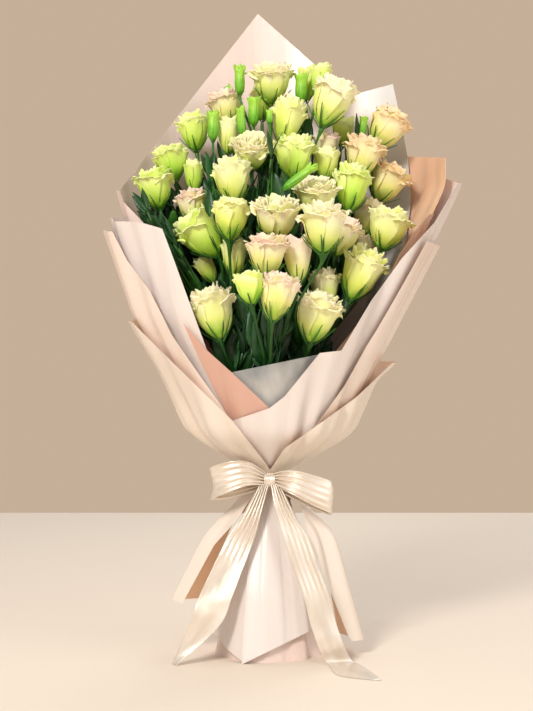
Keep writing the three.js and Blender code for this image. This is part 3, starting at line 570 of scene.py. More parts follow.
    def piece(self, name: str, finishes: Iterable[bpy.types.Material]) -> bpy.types.Object:
        """Make the object.

        Args:
            name: Its name.
            finishes: Its materials in order.

        Returns:
            The object, with its place in its mesh.
        """
        places = np.concatenate(self.places) * METRE
        faces = np.concatenate(self.faces)
        mesh = bpy.data.meshes.new(name)
        mesh.vertices.add(len(places))
        mesh.vertices.foreach_set("co", places.astype(np.float32).ravel())
        mesh.loops.add(len(faces) * 4)
        mesh.loops.foreach_set("vertex_index", faces.astype(np.int32).ravel())
        mesh.polygons.add(len(faces))
        mesh.polygons.foreach_set("loop_start", np.arange(len(faces), dtype=np.int32) * 4)
        mesh.polygons.foreach_set("material_index", np.concatenate(self.finishes).astype(np.int32))
        mesh.polygons.foreach_set("use_smooth", np.ones(len(faces), dtype=bool))
        mesh.update(calc_edges=True)
        layer = mesh.uv_layers.new(name="UVMap")
        layer.data.foreach_set("uv", np.concatenate(self.maps)[faces.ravel()].astype(np.float32).ravel())
        numbers = np.concatenate(self.numbers).astype(np.float32)
        for i, label in enumerate(("along", "tint", "rib")):
            mesh.attributes.new(label, "FLOAT", "POINT").data.foreach_set("value", numbers[:, i].copy())
        mesh.validate()
        for finish in finishes:
            mesh.materials.append(finish)
        return placed(name, mesh)


def smooth_path(points: Sequence[Sequence[float]], count: int) -> np.ndarray:
    """Lay a smooth curve through points.

    Args:
        points: Places, or rows of numbers.
        count: How many places the curve gets.

    Returns:
        The places, count by the points' width.
    """
    knots = np.array(points, dtype=float)
    padded = np.concatenate([2 * knots[:1] - knots[1:2], knots, 2 * knots[-1:] - knots[-2:-1]])
    out = []
    for share in np.linspace(0, len(knots) - 1, count):
        i = min(int(share), len(knots) - 2)
        t = share - i
        a, b, c, d = padded[i : i + 4]
        square, cube = (2 * a - 5 * b + 4 * c - d) * t**2, (3 * b - a - 3 * c + d) * t**3
        out.append(0.5 * (2 * b + (c - a) * t + square + cube))
    return np.array(out)


def upright_to(axis: Vector, base: Vector) -> Matrix:
    """Return the turn that stands +Z on an axis, placed at a base."""
    return Matrix.Translation(base) @ Vector((0, 0, 1)).rotation_difference(axis).to_matrix().to_4x4()


# ------------------------------------------------------------------ blooms


@dataclass(frozen=True)
class Whorl:
    """One round of petals: how many, and their reach, height, spread in degrees and how far they curl."""

    petals: int
    reach: float
    height: float
    spread: float
    curl: float
    fine: tuple[int, int]


FULL = (
    Whorl(5, 1.0, 0.88, 48, 2.4, (14, 21)),
    Whorl(5, 0.9, 0.94, 45, 1.8, (13, 19)),
    Whorl(5, 0.76, 0.99, 43, 1.3, (12, 17)),
    Whorl(5, 0.61, 1.02, 42, 0.8, (10, 13)),
    Whorl(4, 0.45, 1.03, 52, 0.7, (9, 12)),
    Whorl(3, 0.3, 1.02, 60, 0.5, (8, 11)),
    Whorl(2, 0.15, 1.0, 80, 0.3, (7, 9)),
)
SLENDER = (
    Whorl(4, 1.0, 0.9, 62, 1.2, (13, 17)),
    Whorl(4, 0.82, 0.98, 56, 0.9, (11, 14)),
    Whorl(3, 0.58, 1.0, 66, 0.6, (9, 12)),
    Whorl(2, 0.3, 0.98, 88, 0.4, (8, 10)),
)
CUP_HEIGHTS = (0, 0.04, 0.1, 0.18, 0.3, 0.45, 0.62, 0.8, 1.0)
CUP_RADII = (0.06, 0.12, 0.185, 0.25, 0.32, 0.372, 0.408, 0.435, 0.462)


def petal_slab(
    surface: Surface, whorl: Whorl, turn: float, rng: np.random.Generator, size: tuple[float, float],
    cup: tuple[Sequence[float], Sequence[float]], finish: int = 0,
) -> None:
    """Add one petal of a whorl.

    Args:
        surface: What it is added to.
        whorl: The round it belongs to.
        turn: Its turn round the flower.
        rng: Source of its unevenness.
        size: Width and height of the flower.
        cup: Heights and radii of the flower's outline, as shares of its size.
        finish: Number of its finish.
    """
    rows, columns = whorl.fine
    u = np.linspace(-1, 1, columns)[None, :]
    v = np.linspace(0, 1, rows)[:, None] ** 0.85
    a, b, c, d = rng.uniform(0, 2 * math.pi, 4)
    rim = 1 - 0.16 * np.abs(u) ** 2.2 + 0.035 * np.sin(3.1 * u + a) + 0.012 * np.sin(17 * u + b)
    rim = rim + rng.uniform(-0.012, 0.012, (1, columns))
    height = v * rim * rng.uniform(0.94, 1.05) * whorl.height
    half = math.radians(whorl.spread) * (0.42 + 0.58 * np.sin(math.pi / 2 * np.minimum(1, 1.2 * v)))
    radius = np.interp(height, *cup) * whorl.reach
    loose = smooth_step(0.5, 1.0, v)
    frill = smooth_step(0.72, 1.0, v)
    ruffle = 0.03 * np.sin(4.4 * u + a) * loose + 0.024 * np.sin(9.5 * u + b) * frill
    ruffle = ruffle + 0.012 * np.sin(19 * u + d) * frill
    radius = radius + ruffle * (0.5 + 0.55 * whorl.reach) + 0.02 * u * smooth_step(0.05, 0.5, v)
    curl = whorl.curl * rng.uniform(0.25, 1.3)
    radius = radius + 0.05 * curl * smooth_step(0.7, 1.0, v) ** 1.7 * (1 - 0.35 * np.abs(u))
    fold = 0.01 * np.sin(3 * u + c) * smooth_step(0.1, 0.6, v) - 0.012 * np.exp(-((u / 0.16) ** 2)) * loose
    height = height - 0.045 * curl * smooth_step(0.88, 1.0, v) + frill * 0.016 * np.sin(8.3 * u + c)
    angle = turn + u * half + 0.05 * np.sin(6 * v + a) * loose
    r = (radius + fold) * size[0]
    grid = np.stack([r * np.cos(angle), r * np.sin(angle), height * size[1] + 0 * angle], axis=2)
    surface.slab(grid, PETAL, np.broadcast_to(v, (rows, columns)), rng.uniform(-1, 1), None, finish)


@dataclass
class Bloom:
    """One double bloom, found by the box of its solid."""

    name: str
    width: float
    tall: float
    lean: float
    nod: float
    petals: Petals
    seed: int

    @property
    def axis(self) -> Vector:
        """The way the bloom faces."""
        return facing(self.lean, self.nod)

    def base(self) -> Vector:
        """Find the foot of the bloom from the box of its solid."""
        low, high = (np.array(corner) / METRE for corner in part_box(f"bloom_{self.name}"))
        axis = np.array(self.axis)
        rings = ((0.09, 0.0), (0.29, 0.15), (0.425, 0.45), (0.475, 1.0))
        reach = np.sqrt(np.maximum(0, 1 - axis**2))
        tops = np.max([h * self.tall * axis + r * self.width * reach for r, h in rings], axis=0)
        bottoms = np.min([h * self.tall * axis - r * self.width * reach for r, h in rings], axis=0)
        return Vector((low + high) / 2 - (tops + bottoms) / 2)

    def build(self) -> bpy.types.Object:
        """Make the bloom of its whorls of petals, over a closed green foot.

        Returns:
            The bloom's object.
        """
        rng = np.random.default_rng(self.seed)
        surface = Surface()
        start = rng.uniform(0, 2 * math.pi)
        for number, whorl in enumerate(FULL if self.width >= FULL_WIDTH else SLENDER):
            for p in range(whorl.petals):
                turn = start + 2 * math.pi * (p + 0.5 * (number % 2)) / whorl.petals + rng.uniform(-0.1, 0.1)
                petal_slab(surface, whorl, turn, rng, (self.width, self.tall), (CUP_HEIGHTS, CUP_RADII))
        foot = np.array([[0, 0, share * self.tall] for share in (0.0, 0.05, 0.12, 0.2)])
        radii = np.array([0.075, 0.14, 0.2, 0.12]) * self.width
        surface.tube(foot, radii, 16, np.array([0.0, 0.0, 0.0, 0.1]))
        surface.turned(upright_to(self.axis, self.base()))
        return surface.piece(f"petals_{self.name}", [MATERIALS[self.petals]])

    def dress(self, made: bpy.types.Object) -> None:
        """Put the bloom in the place of its solid."""
        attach(made, "root")
        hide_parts(f"bloom_{self.name}")


# Width, height, lean and nod of each bloom, and its colour.
BLOOMS: dict[str, tuple[float, float, float, float, Petals]] = {
    "top_centre": (55, 50, 0, 10, Petals.CREAM),
    "top_left_blush": (46, 46, -12, 0, Petals.BLUSH),
    "centre_back": (36, 43, 0, 0, Petals.YELLOW),
    "tall_centre": (44, 58, 12, 0, Petals.YELLOW),
    "top_yellow": (29, 43, 3, 0, Petals.YELLOW),
    "top_green": (26, 43, 10, 0, Petals.GREEN),
    "top_right": (56, 60, 20, 0, Petals.CREAM),
    "half_open_right": (31, 38, 5, 0, Petals.GREEN),
    "far_right_top": (52, 53, 32, 0, Petals.PEACH),
    "right_orange": (49, 50, 14, 0, Petals.PEACH),
    "right_peach": (53, 50, 25, 0, Petals.PEACH),
    "right_green": (47, 55, 8, 0, Petals.GREEN),
    "right_cream": (34, 42, 0, 0, Petals.YELLOW),
    "right_blush_back": (35, 40, 0, 0, Petals.BLUSH),
    "middle_wide": (55, 43, 0, 20, Petals.CREAM),
    "middle_right": (55, 55, 0, 5, Petals.CREAM),
    "middle_right_pink": (39, 47, 22, 0, Petals.BLUSH),
    "right_blush": (40, 43, 5, 0, Petals.BLUSH),
    "right_yellow": (53, 50, 14, 0, Petals.YELLOW),
    "right_low_blush": (29, 34, 0, 0, Petals.BLUSH),
    "low_right_cream": (53, 62, 22, 0, Petals.YELLOW),
    "low_right_back": (38, 46, 0, 0, Petals.CREAM),
    "low_right_front": (55, 58, 15, 0, Petals.CREAM),
    "centre_folded": (50, 53, 0, 0, Petals.GREEN),
    "centre_facing": (50, 43, 0, 35, Petals.CREAM),
    "left_yellow_back": (31, 46, 0, 0, Petals.YELLOW),
    "left_green_top": (43, 46, -8, 0, Petals.GREEN),
    "left_yellow": (46, 43, -12, 0, Petals.GREEN),
    "left_edge_green": (48, 48, -14, 0, Petals.GREEN),
    "left_narrow": (26, 43, 0, 0, Petals.GREEN),
    "centre_cream": (48, 53, -4, 0, Petals.YELLOW),
    "left_blush_back": (41, 41, -5, 0, Petals.BLUSH),
    "left_white": (48, 48, 4, 5, Petals.YELLOW),
    "left_large_green": (55, 60, -40, 0, Petals.GREEN),
    "left_tall_yellow": (32, 50, 0, 0, Petals.YELLOW),
    "centre_ruffled": (57, 49, 0, 22, Petals.CREAM),
    "centre_blush": (48, 48, 0, 0, Petals.BLUSH),
    "centre_yellow_blush": (36, 55, 0, 0, Petals.BLUSH),
    "small_green": (36, 37, -10, 0, Petals.GREEN),
    "low_centre": (46, 52, 10, 0, Petals.BLUSH),
    "low_left": (55, 60, -15, 0, Petals.CREAM),
    "low_left_back": (26, 36, -30, 0, Petals.YELLOW),
}


# ------------------------------------------------------------------ buds and sepals

BUD_HEIGHTS = (0, 0.06, 0.14, 0.26, 0.42, 0.6, 0.76, 0.9, 1.0)
BUD_RADII = (0.06, 0.2, 0.33, 0.4, 0.42, 0.4, 0.36, 0.42, 0.5)
BUD_WHORLS = (
    Whorl(4, 1.0, 1.0, 66, 0.4, (8, 14)),
    Whorl(3, 0.72, 1.02, 74, 0.3, (7, 12)),
    Whorl(2, 0.36, 1.0, 88, 0.2, (6, 10)),
)

# Across, up and first depth of each bud, its width, height, lean and nod.
BUDS: dict[str, tuple[float, float, float, float, float, float, float]] = {
    "top_left": (-34, 686, 38, 14, 36, 0, 0),
    "tight": (-50, 673, 60, 13, 16, 60, 0),
    "top": (40, 676, 36, 18, 37, 0, 0),
    "centre": (-17, 648, 23, 16, 35, 0, 0),
    "slim": (-32, 636, 30, 12, 36, -4, 0),
    "left": (-66, 631, 16, 15, 38, 0, 0),
    "right": (114, 630, 30, 11, 24, 6, 0),
    "small": (2, 642, 10, 9, 17, 0, 0),
    "lying": (36, 569, -24, 12, 48, 52, 0),
}


@dataclass
class Bud:
    """One bud at the end of a branch, found by the corners of its solid."""

    name: str
    row: tuple[float, float, float, float, float, float, float]
    seed: int
    depth: float = 0.0

    @property
    def size(self) -> tuple[float, float]:
        """Width and height."""
        nearer = 1 + self.row[2] / EYE_DISTANCE
        return self.row[3] * nearer, self.row[4] * nearer

    @property
    def axis(self) -> Vector:
        """The way the bud points."""
        return facing(self.row[5], self.row[6])

    def standing(self, depth: float) -> Matrix:
        """Return what carries the bud to its place at a depth."""
        base = seen(self.row[0], self.row[1], depth) - self.axis * (self.size[1] / 2)
        return upright_to(self.axis, base)

    def corners(self, depth: float) -> list[Vector]:
        """Return the corners of the bud's solid at a depth."""
        width, tall = self.size
        turn = self.standing(depth)
        out = []
        for radius, height in ((0.42, 0.2), (0.42, 0.7), (0.5, 1.0)):
            for i in range(5):
                phi = 2 * math.pi * i / 5
                r = radius * width
                out.append(turn @ Vector((r * math.sin(phi), -r * math.cos(phi), height * tall)))
        out.append(turn @ Vector((0, 0, 0.94 * tall)))
        return out

    def settle(self, tree: KDTree) -> float:
        """Find the depth where the solid's corners are, and return how far they are off."""

        def off(depth: float) -> float:
            return sum(tree.find(corner * METRE)[2] for corner in self.corners(depth)) / 16 / METRE

        best = min(np.arange(-170, 150, 0.5), key=off)
        self.depth = float(min(np.arange(best - 0.5, best + 0.5, 0.02), key=off))
        return off(self.depth)

    def add_to(self, surface: Surface) -> None:
        """Add the bud's petals and its closed heart."""
        rng = np.random.default_rng(self.seed)
        width, tall = self.size
        made = Surface()
        start = rng.uniform(0, 2 * math.pi)
        for number, whorl in enumerate(BUD_WHORLS):
            for p in range(whorl.petals):
                turn = start + 2 * math.pi * (p + 0.5 * (number % 2)) / whorl.petals
                petal_slab(made, whorl, turn, rng, (width, tall), (BUD_HEIGHTS, BUD_RADII), 1)
        path = np.array([[0, 0, h * tall] for h in (0.0, 0.1, 0.25, 0.5, 0.75, 0.86)])
        made.tube(path, np.array([0.07, 0.24, 0.34, 0.34, 0.25, 0.1]) * width, 12, np.linspace(0, 1, 6), 1)
        made.turned(self.standing(self.depth))
        for places, faces, uv, numbers, finish, start_at in made.parts():
            surface.add(places, faces - start_at, uv, numbers, finish)


@dataclass(frozen=True)
class Spot:
    """A place that a whorl stands on: where, its facing, its width and height, and how fresh it is."""

    at: Vector
    axis: Vector
    width: float
    tall: float
    fresh: float = 0.0


@dataclass
class Whorls:
    """Whorls of one blade laid on many places by a node tree."""

    name: str
    spots: list[Spot]
    count: int
    unevenness: float
    finish: Greens

    def pattern(self) -> bpy.types.Object:
        """Make one blade for a whorl one unit wide and one high."""
        raise NotImplementedError

    def _points(self) -> bpy.types.Object:
        """Make the points that the whorls stand on, with their turn and size."""
        mesh = bpy.data.meshes.new(f"{self.name}_spots")
        mesh.from_pydata([tuple(spot.at * METRE) for spot in self.spots], [], [])
        turns, sizes = [], []
        for i, spot in enumerate(self.spots):
            quaternion = Vector((0, 0, 1)).rotation_difference(spot.axis)
            turns.append((quaternion @ Matrix.Rotation(i * 2.4, 4, "Z").to_quaternion()).to_euler())
            sizes.append((spot.width * METRE, spot.width * METRE, spot.tall * METRE))
        for label, values in (("turn", turns), ("size", sizes)):
            flat = np.array([tuple(value) for value in values], np.float32).ravel()
            mesh.attributes.new(label, "FLOAT_VECTOR", "POINT").data.foreach_set("vector", flat)
        fresh = np.array([spot.fresh for spot in self.spots], np.float32)
        mesh.attributes.new("fresh", "FLOAT", "POINT").data.foreach_set("value", fresh)
        return placed(f"{self.name}_spots", mesh)

    def _tree(self) -> bpy.types.NodeTree:
        """Make the node tree that lays a whorl on each point."""
        tree = bpy.data.node_groups.new(f"{self.name}_whorls", "GeometryNodeTree")
        kinds = {"Geometry": "Geometry", "Blade": "Object", "Blades": "Int", "Unevenness": "Float",
                 "Seed": "Int", "Finish": "Material"}
        for label, kind in kinds.items():
            tree.interface.new_socket(label, in_out="INPUT", socket_type=f"NodeSocket{kind}")
        tree.interface.new_socket("Geometry", in_out="OUTPUT", socket_type="NodeSocketGeometry")

        def node(
            kind: str, settings: dict[str, Any] | None = None, links: dict[Any, Any] | None = None
        ) -> Any:
            made = tree.nodes.new(kind)
            for key, value in (settings or {}).items():
                setattr(made, key, value)
            for key, value in (links or {}).items():
                target = made.inputs[key]
                if isinstance(value, bpy.types.NodeSocket):
                    tree.links.new(value, target)
                else:
                    target.default_value = value
            return made

        def lay(points: Any, instance: Any, turned: Any, sized: Any) -> Any:
            rotation = node("FunctionNodeEulerToRotation", {}, {0: turned.outputs[0]}).outputs[0]
            links = {"Points": points, "Instance": instance, "Rotation": rotation, "Scale": sized.outputs[0]}
            return node("GeometryNodeInstanceOnPoints", {}, links)

        given = node("NodeGroupInput").outputs
        pattern = node("GeometryNodeObjectInfo", {}, {"Object": given["Blade"]})
        ring = node("GeometryNodeMeshLine", {}, {"Count": given["Blades"], "Offset": (0.0, 0.0, 0.0)})
        index = node("GeometryNodeInputIndex")
        step = node("ShaderNodeMath", {"operation": "DIVIDE"}, {0: 2 * math.pi, 1: given["Blades"]})
        turn = node("ShaderNodeMath", {"operation": "MULTIPLY"}, {0: index.outputs[0], 1: step.outputs[0]})
        least = node("ShaderNodeMath", {"operation": "SUBTRACT"}, {0: 1.0, 1: given["Unevenness"]})
        limits = {2: least.outputs[0], 3: 1.0, "Seed": given["Seed"]}
        uneven = node("FunctionNodeRandomValue", {"data_type": "FLOAT"}, limits)
        spin = node("ShaderNodeCombineXYZ", {}, {"Z": turn.outputs[0]})
        long = node("ShaderNodeCombineXYZ", {}, {"X": 1.0, "Y": uneven.outputs[1], "Z": uneven.outputs[1]})
        whorl = lay(ring.outputs[0], pattern.outputs["Geometry"], spin, long)
        whole = node("GeometryNodeRealizeInstances", {}, {0: whorl.outputs[0]})
        faced = node("GeometryNodeInputNamedAttribute", {"data_type": "FLOAT_VECTOR"}, {"Name": "turn"})
        size = node("GeometryNodeInputNamedAttribute", {"data_type": "FLOAT_VECTOR"}, {"Name": "size"})
        laid = lay(given["Geometry"], whole.outputs[0], faced, size)
        real = node("GeometryNodeRealizeInstances", {}, {0: laid.outputs[0]})
        done = node("GeometryNodeSetMaterial", {}, {0: real.outputs[0], "Material": given["Finish"]})
        node("NodeGroupOutput", {}, {0: done.outputs[0]})
        return tree

    def build(self) -> bpy.types.Object:
        """Lay the whorls and turn them into one plain mesh."""
        pattern, points, tree = self.pattern(), self._points(), self._tree()
        modifier = points.modifiers.new("whorls", "NODES")
        modifier.node_group = tree
        values = {
            "Blade": pattern,
            "Blades": self.count,
            "Unevenness": self.unevenness,
            "Seed": Seeds.WHORLS.value,
            "Finish": MATERIALS[self.finish],
        }
        for item in tree.interface.items_tree:
            if item.name in values and item.in_out == "INPUT":
                modifier[item.identifier] = values[item.name]
        points.update_tag()
        made = settled_copy(points, self.name)
        bpy.data.objects.remove(points)
        bpy.data.objects.remove(pattern)
        return made

    def dress(self, made: bpy.types.Object) -> None:
        """Let the whorls ride with the bouquet."""
        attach(made, "root")


class Sepals(Whorls):
    """Five narrow sepals round the foot of every bloom and bud."""

    def pattern(self) -> bpy.types.Object:
        """Make one sepal for a bloom one unit wide and one high."""
        surface = Surface()
        line = smooth_path(
            ((0.03, -0.07), (0.105, 0.0), (0.19, 0.09), (0.285, 0.2), (0.36, 0.31), (0.43, 0.4)), 14
        )
        wide = np.interp(np.linspace(0, 1, 14), (0, 0.3, 0.6, 1), (0.027, 0.024, 0.014, 0.002))
        u = np.linspace(-1, 1, 5)
        grid = np.zeros((14, 5, 3))
        grid[:, :, 0] = line[:, :1] + 0.028 - 0.014 * np.abs(u)[None, :]
        grid[:, :, 1] = wide[:, None] * u[None, :]
        grid[:, :, 2] = line[:, 1:]
        along = np.broadcast_to(np.linspace(0.2, 0.9, 14)[:, None], (14, 5))
        rib = np.broadcast_to((1 - np.abs(u))[None, :] ** 2, (14, 5))
        surface.slab(grid / METRE, 0.016 / METRE, along, 0, rib)
        return surface.piece("sepal_pattern", [MATERIALS[Greens.SEPAL]])


class Foliage(Whorls):
    """Single leaves that stand on the stems wherever blooms leave them room."""

    def pattern(self) -> bpy.types.Object:
        """Make one leaf one unit long and as wide as it is long."""
        surface = Surface()
        rows, columns = 8, 3
        s = np.linspace(0, 1, rows)[:, None]
        u = np.linspace(-1, 1, columns)[None, :]
        outline = ((0, 0.1, 0.25, 0.45, 0.65, 0.85, 1), (0.06, 0.4, 0.86, 1.0, 0.82, 0.4, 0.03))
        wide = np.interp(s, *outline) * 0.5
        out = 0.34 * s**1.6 + 0.0 * u
        grid = np.stack([
            0.5 * out - 0.2 * np.abs(u) * wide + 0.03 * np.sin(7 * s) * u,
            wide * u,
            s * 0.94 + 0.0 * u,
        ], axis=2)
        rib = np.broadcast_to(np.maximum(0, 1 - np.abs(u) * 2.4) * (1 - 0.5 * s), (rows, columns))
        surface.slab(grid / METRE, 0.012 / METRE, np.zeros((rows, columns)), 0, rib)
        return surface.piece("leaf_pattern", [MATERIALS[Greens.LEAF]])


def settled_copy(source: bpy.types.Object, name: str) -> bpy.types.Object:
    """Return a new object with the mesh that a source's modifiers give.

    Args:
        source: The object with modifiers.
        name: Name of the new one.

    Returns:
        The new object, with no modifiers.
    """
    bpy.context.view_layer.update()
    graph = bpy.context.evaluated_depsgraph_get()
    mesh = bpy.data.meshes.new_from_object(
        source.evaluated_get(graph), preserve_all_data_layers=True, depsgraph=graph
    )
    mesh.name = name
    return placed(name, mesh)


# ------------------------------------------------------------------ stems and leaves

# In the copy of a stem's solid: how near a corner of a leaf or bud has to be, how far off a bud's corners
# may be, and how far the stem is rounded out.
CORNER_REACH = 0.25
BUD_FIT = 0.3
ROUND_OUT = 0.3
STEM_APEX = 150.0
HEADINGS = {
    "front_left": (-0.19, -0.25),
    "front": (0.01, -0.33),
    "front_right": (0.20, -0.22),
    "back_left": (-0.25, -0.01),
    "back_right": (0.26, 0.0),
    "middle": (0.0, 0.0),
}
# The large leaves over the front of the wrap: their stem, the height of their root on it, the across, up
# and depth of their tip, and their width.
FRONT_LEAVES: tuple[tuple[str, float, float, float, float, float], ...] = (
    ("front_left", 328, -66, 378, -62, 26),
    ("front_left", 336, -20, 415, -66, 16),
    ("front_left", 318, -15, 368, -62, 12),
    ("front_left", 345, -52, 402, -50, 17),
    ("front", 345, 19, 416, -84, 15),
    ("front", 322, 12, 374, -74, 19),
    ("front", 338, -14, 396, -78, 13),
    ("front", 330, 31, 398, -66, 14),
    ("front_right", 325, 78, 372, -52, 15),
    ("front_right", 318, 60, 370, -58, 16),
    ("front_right", 312, 38, 364, -60, 13),
    ("front_right", 350, 44, 424, -50, 13),
)


@dataclass(frozen=True)
class Leaf:
    """One large leaf from its root to its tip."""

    root: Vector
    tip: Vector
    width: float

    def _ways(self) -> tuple[Vector, Vector, Vector]:
        """Return the ways along the leaf, to its side and out of its face."""
        along = self.tip - self.root
        side = along.cross(Vector((0, -1, 0.2))).normalized() * (self.width / 2)
        return along, side, side.cross(along).normalized()

    def corners(self) -> list[Vector]:
        """Return the corners of the leaf's solid, the root left out."""
        along, side, face = self._ways()
        arch = along.length * 0.08
        out = [self.tip]
        for share, wide, lift in ((0.35, 1.0, 0.8), (0.7, 0.8, 0.9)):
            for edge in (-1, 0, 1):
                raised = face * (arch * (lift - abs(edge) * 0.5))
                spot = self.root + along * share + side * edge * wide + raised
                out += [spot, spot + face * 0.8, spot - face * 0.8]
        return out

    def add_to(self, surface: Surface, seed: int) -> None:
        """Add the leaf as a fine blade with a folded rib and a waved edge."""
        rng = np.random.default_rng(seed)
        along, side, face = (np.array(way) for way in self._ways())
        arch = float(np.linalg.norm(along)) * 0.08
        rows, columns = 26, 13
        s = np.linspace(0, 1, rows)[:, None]
        u = np.linspace(-1, 1, columns)[None, :]
        outline = ((0, 0.08, 0.2, 0.38, 0.55, 0.75, 0.9, 1), (0.05, 0.3, 0.74, 1.0, 0.98, 0.72, 0.36, 0.03))
        wide = np.interp(s, *outline)
        lift = np.interp(s, (0, 0.35, 0.7, 1), (0, 0.8, 0.9, 0)) - 0.5 * np.abs(u) ** 1.3 * wide
        wave = 0.10 * np.abs(u) ** 2 * np.sin(9 * s + rng.uniform(0, 6)) * wide
        grid = (
            np.array(self.root)
            + along * s[..., None]
            + side * (u * wide)[..., None]
            + face * (arch * (lift + wave))[..., None]
        )
        rib = np.broadcast_to(np.maximum(0, 1 - np.abs(u) * 3.2) * (1 - 0.4 * s), (rows, columns))
        fresh = np.full((rows, columns), rng.uniform(0.0, 0.5))
        surface.slab(grid, LEAF_BLADE, fresh, 0, rib, 2)


@dataclass
class LeafyStem:
    """One main stem with its branches, its leaves and its buds."""

    name: str
    leaves: list[Leaf]
    buds: list[Bud]

    def _copy(self) -> bpy.types.Object:
        """Copy the solid without its large leaves and buds, rounded."""
        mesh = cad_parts[f"leafy_stem_{self.name}"].data
        body = bmesh.new()
        body.from_mesh(mesh)
        bmesh.ops.remove_doubles(body, verts=body.verts, dist=1e-5)
        tree = KDTree(len(body.verts))
        for i, vert in enumerate(body.verts):
            tree.insert(vert.co, i)
        tree.balance()
        body.verts.ensure_lookup_table()
        gone: set[int] = set()
        cleared = [leaf.corners() for leaf in self.leaves]
        cleared += [self._bud_spots(bud, tree) for bud in self.buds]
        for spots in cleared:
            for spot in spots:
                gone.update(found[1] for found in tree.find_range(spot * METRE, CORNER_REACH * METRE))
        bmesh.ops.delete(body, geom=[body.verts[i] for i in gone], context="VERTS")
        bmesh.ops.holes_fill(body, edges=[e for e in body.edges if e.is_boundary], sides=0)
        bmesh.ops.triangulate(body, faces=[f for f in body.faces if len(f.verts) > 4])
        bmesh.ops.recalc_face_normals(body, faces=body.faces)
        for vert in body.verts:
            vert.co += vert.normal * ROUND_OUT * METRE
        for face in body.faces:
            face.smooth = True
        made = bpy.data.meshes.new(f"stem_{self.name}")
        body.to_mesh(made)
        body.free()
        rough = placed("rough", made)
        rounding = rough.modifiers.new("round", "SUBSURF")
        rounding.levels = 2
        rounding.boundary_smooth = "PRESERVE_CORNERS"
        smooth = settled_copy(rough, f"stem_{self.name}")
        bpy.data.objects.remove(rough)
        return smooth

    def _bud_spots(self, bud: Bud, tree: KDTree) -> list[Vector]:
        """Return the corners of a bud's solid, or nothing where they aren't found."""
        off = bud.settle(tree)
        LOG.info("bud %s at depth %.2f, %.3f mm off", bud.name, bud.depth, off)
        return bud.corners(bud.depth) if off < BUD_FIT else []

    def build(self) -> bpy.types.Object:
        """Make the stem with fine leaves and buds."""
        smooth = self._copy()
        mesh = smooth.data
        mesh.materials.clear()
        heights = np.zeros(len(mesh.vertices) * 3, np.float32)
        mesh.vertices.foreach_get("co", heights)
        heights = heights.reshape(-1, 3)[:, 2]
        for label in ("along", "tint", "rib"):
            mesh.attributes.new(label, "FLOAT", "POINT")
        fresh = np.clip((heights - 0.30) / 0.55, 0, 1).astype(np.float32)
        mesh.attributes["along"].data.foreach_set("value", fresh)
        if "UVMap" not in mesh.uv_layers:
            mesh.uv_layers.new(name="UVMap")
        surface = Surface()
        for i, leaf in enumerate(self.leaves):
            leaf.add_to(surface, Seeds.LARGE_LEAVES.value + i)
        for bud in self.buds:
            bud.add_to(surface)
        finishes = [MATERIALS[Greens.STEM], MATERIALS[Greens.BUD], MATERIALS[Greens.LEAF]]
        for finish in finishes:
            mesh.materials.append(finish)
        if not surface.places:
            smooth.name = f"leafy_{self.name}"
            return smooth
        fine = surface.piece(f"fine_{self.name}", finishes)
        return fused(smooth, fine, f"leafy_{self.name}")

    def dress(self, made: bpy.types.Object) -> None:
        """Put the stem in the place of its solid."""
        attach(made, "root")
        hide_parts(f"leafy_stem_{self.name}")


def fused(one: bpy.types.Object, other: bpy.types.Object, name: str) -> bpy.types.Object:
    """Join two objects with the same materials into one, and return it."""
    with bpy.context.temp_override(active_object=one, selected_editable_objects=[one, other]):
        bpy.ops.object.join()
    one.name = name
    return one


# How far above its middle, in heights, and how large, in widths, the balls are that fill a bloom.
FILLING = ((-0.72, 0.06), (-0.27, 0.31), (0.08, 0.46), (0.34, 0.5))


def filling_balls(blooms: list[Spot]) -> tuple[np.ndarray, np.ndarray]:
    """Return the middles and radii of balls that fill the blooms."""
    centres, radii = [], []
    for bloom in blooms:
        for share, radius in FILLING:
            centres.append(np.array(bloom.at + bloom.axis * bloom.tall * (0.5 + share)))
            radii.append(bloom.width * radius)
    return np.array(centres), np.array(radii)


# How many leafy ends are tried, and how many steps of their paths give way to leaves.
LEAFY_ENDS = 330
LEAFY_TOP = 3
LEAVES = 1900
STEM_CLEARANCE = 1.5
LEAF_CLEARANCE = 2.0
LEAF_INSET = 12


def least_gap(points: np.ndarray, centre: np.ndarray, reach: np.ndarray) -> float:
    """Return how near points come to the nearest of some balls, below zero inside one."""
    return float((np.linalg.norm(points[:, None, :] - centre[None], axis=2) - reach[None]).min())


def half_widths(heights: Any) -> np.ndarray:
    """Return the innermost sheet's half widths at heights: left, right, front and back."""
    return np.stack([np.interp(heights, WRAP[:, 0], WRAP[:, i]) for i in range(1, 5)], axis=-1)


def wrap_share(points: np.ndarray, inset: float = 0) -> np.ndarray:
    """Return how far out points are in the wrap, as squared shares of its half widths less an inset."""
    half = half_widths(points[:, 2])
    across = np.where(points[:, 0] > 0, half[:, 1], half[:, 0]) - inset
    deep = np.where(points[:, 1] > 0, half[:, 3], half[:, 2]) - inset
    return (points[:, 0] / across) ** 2 + (points[:, 1] / deep) ** 2


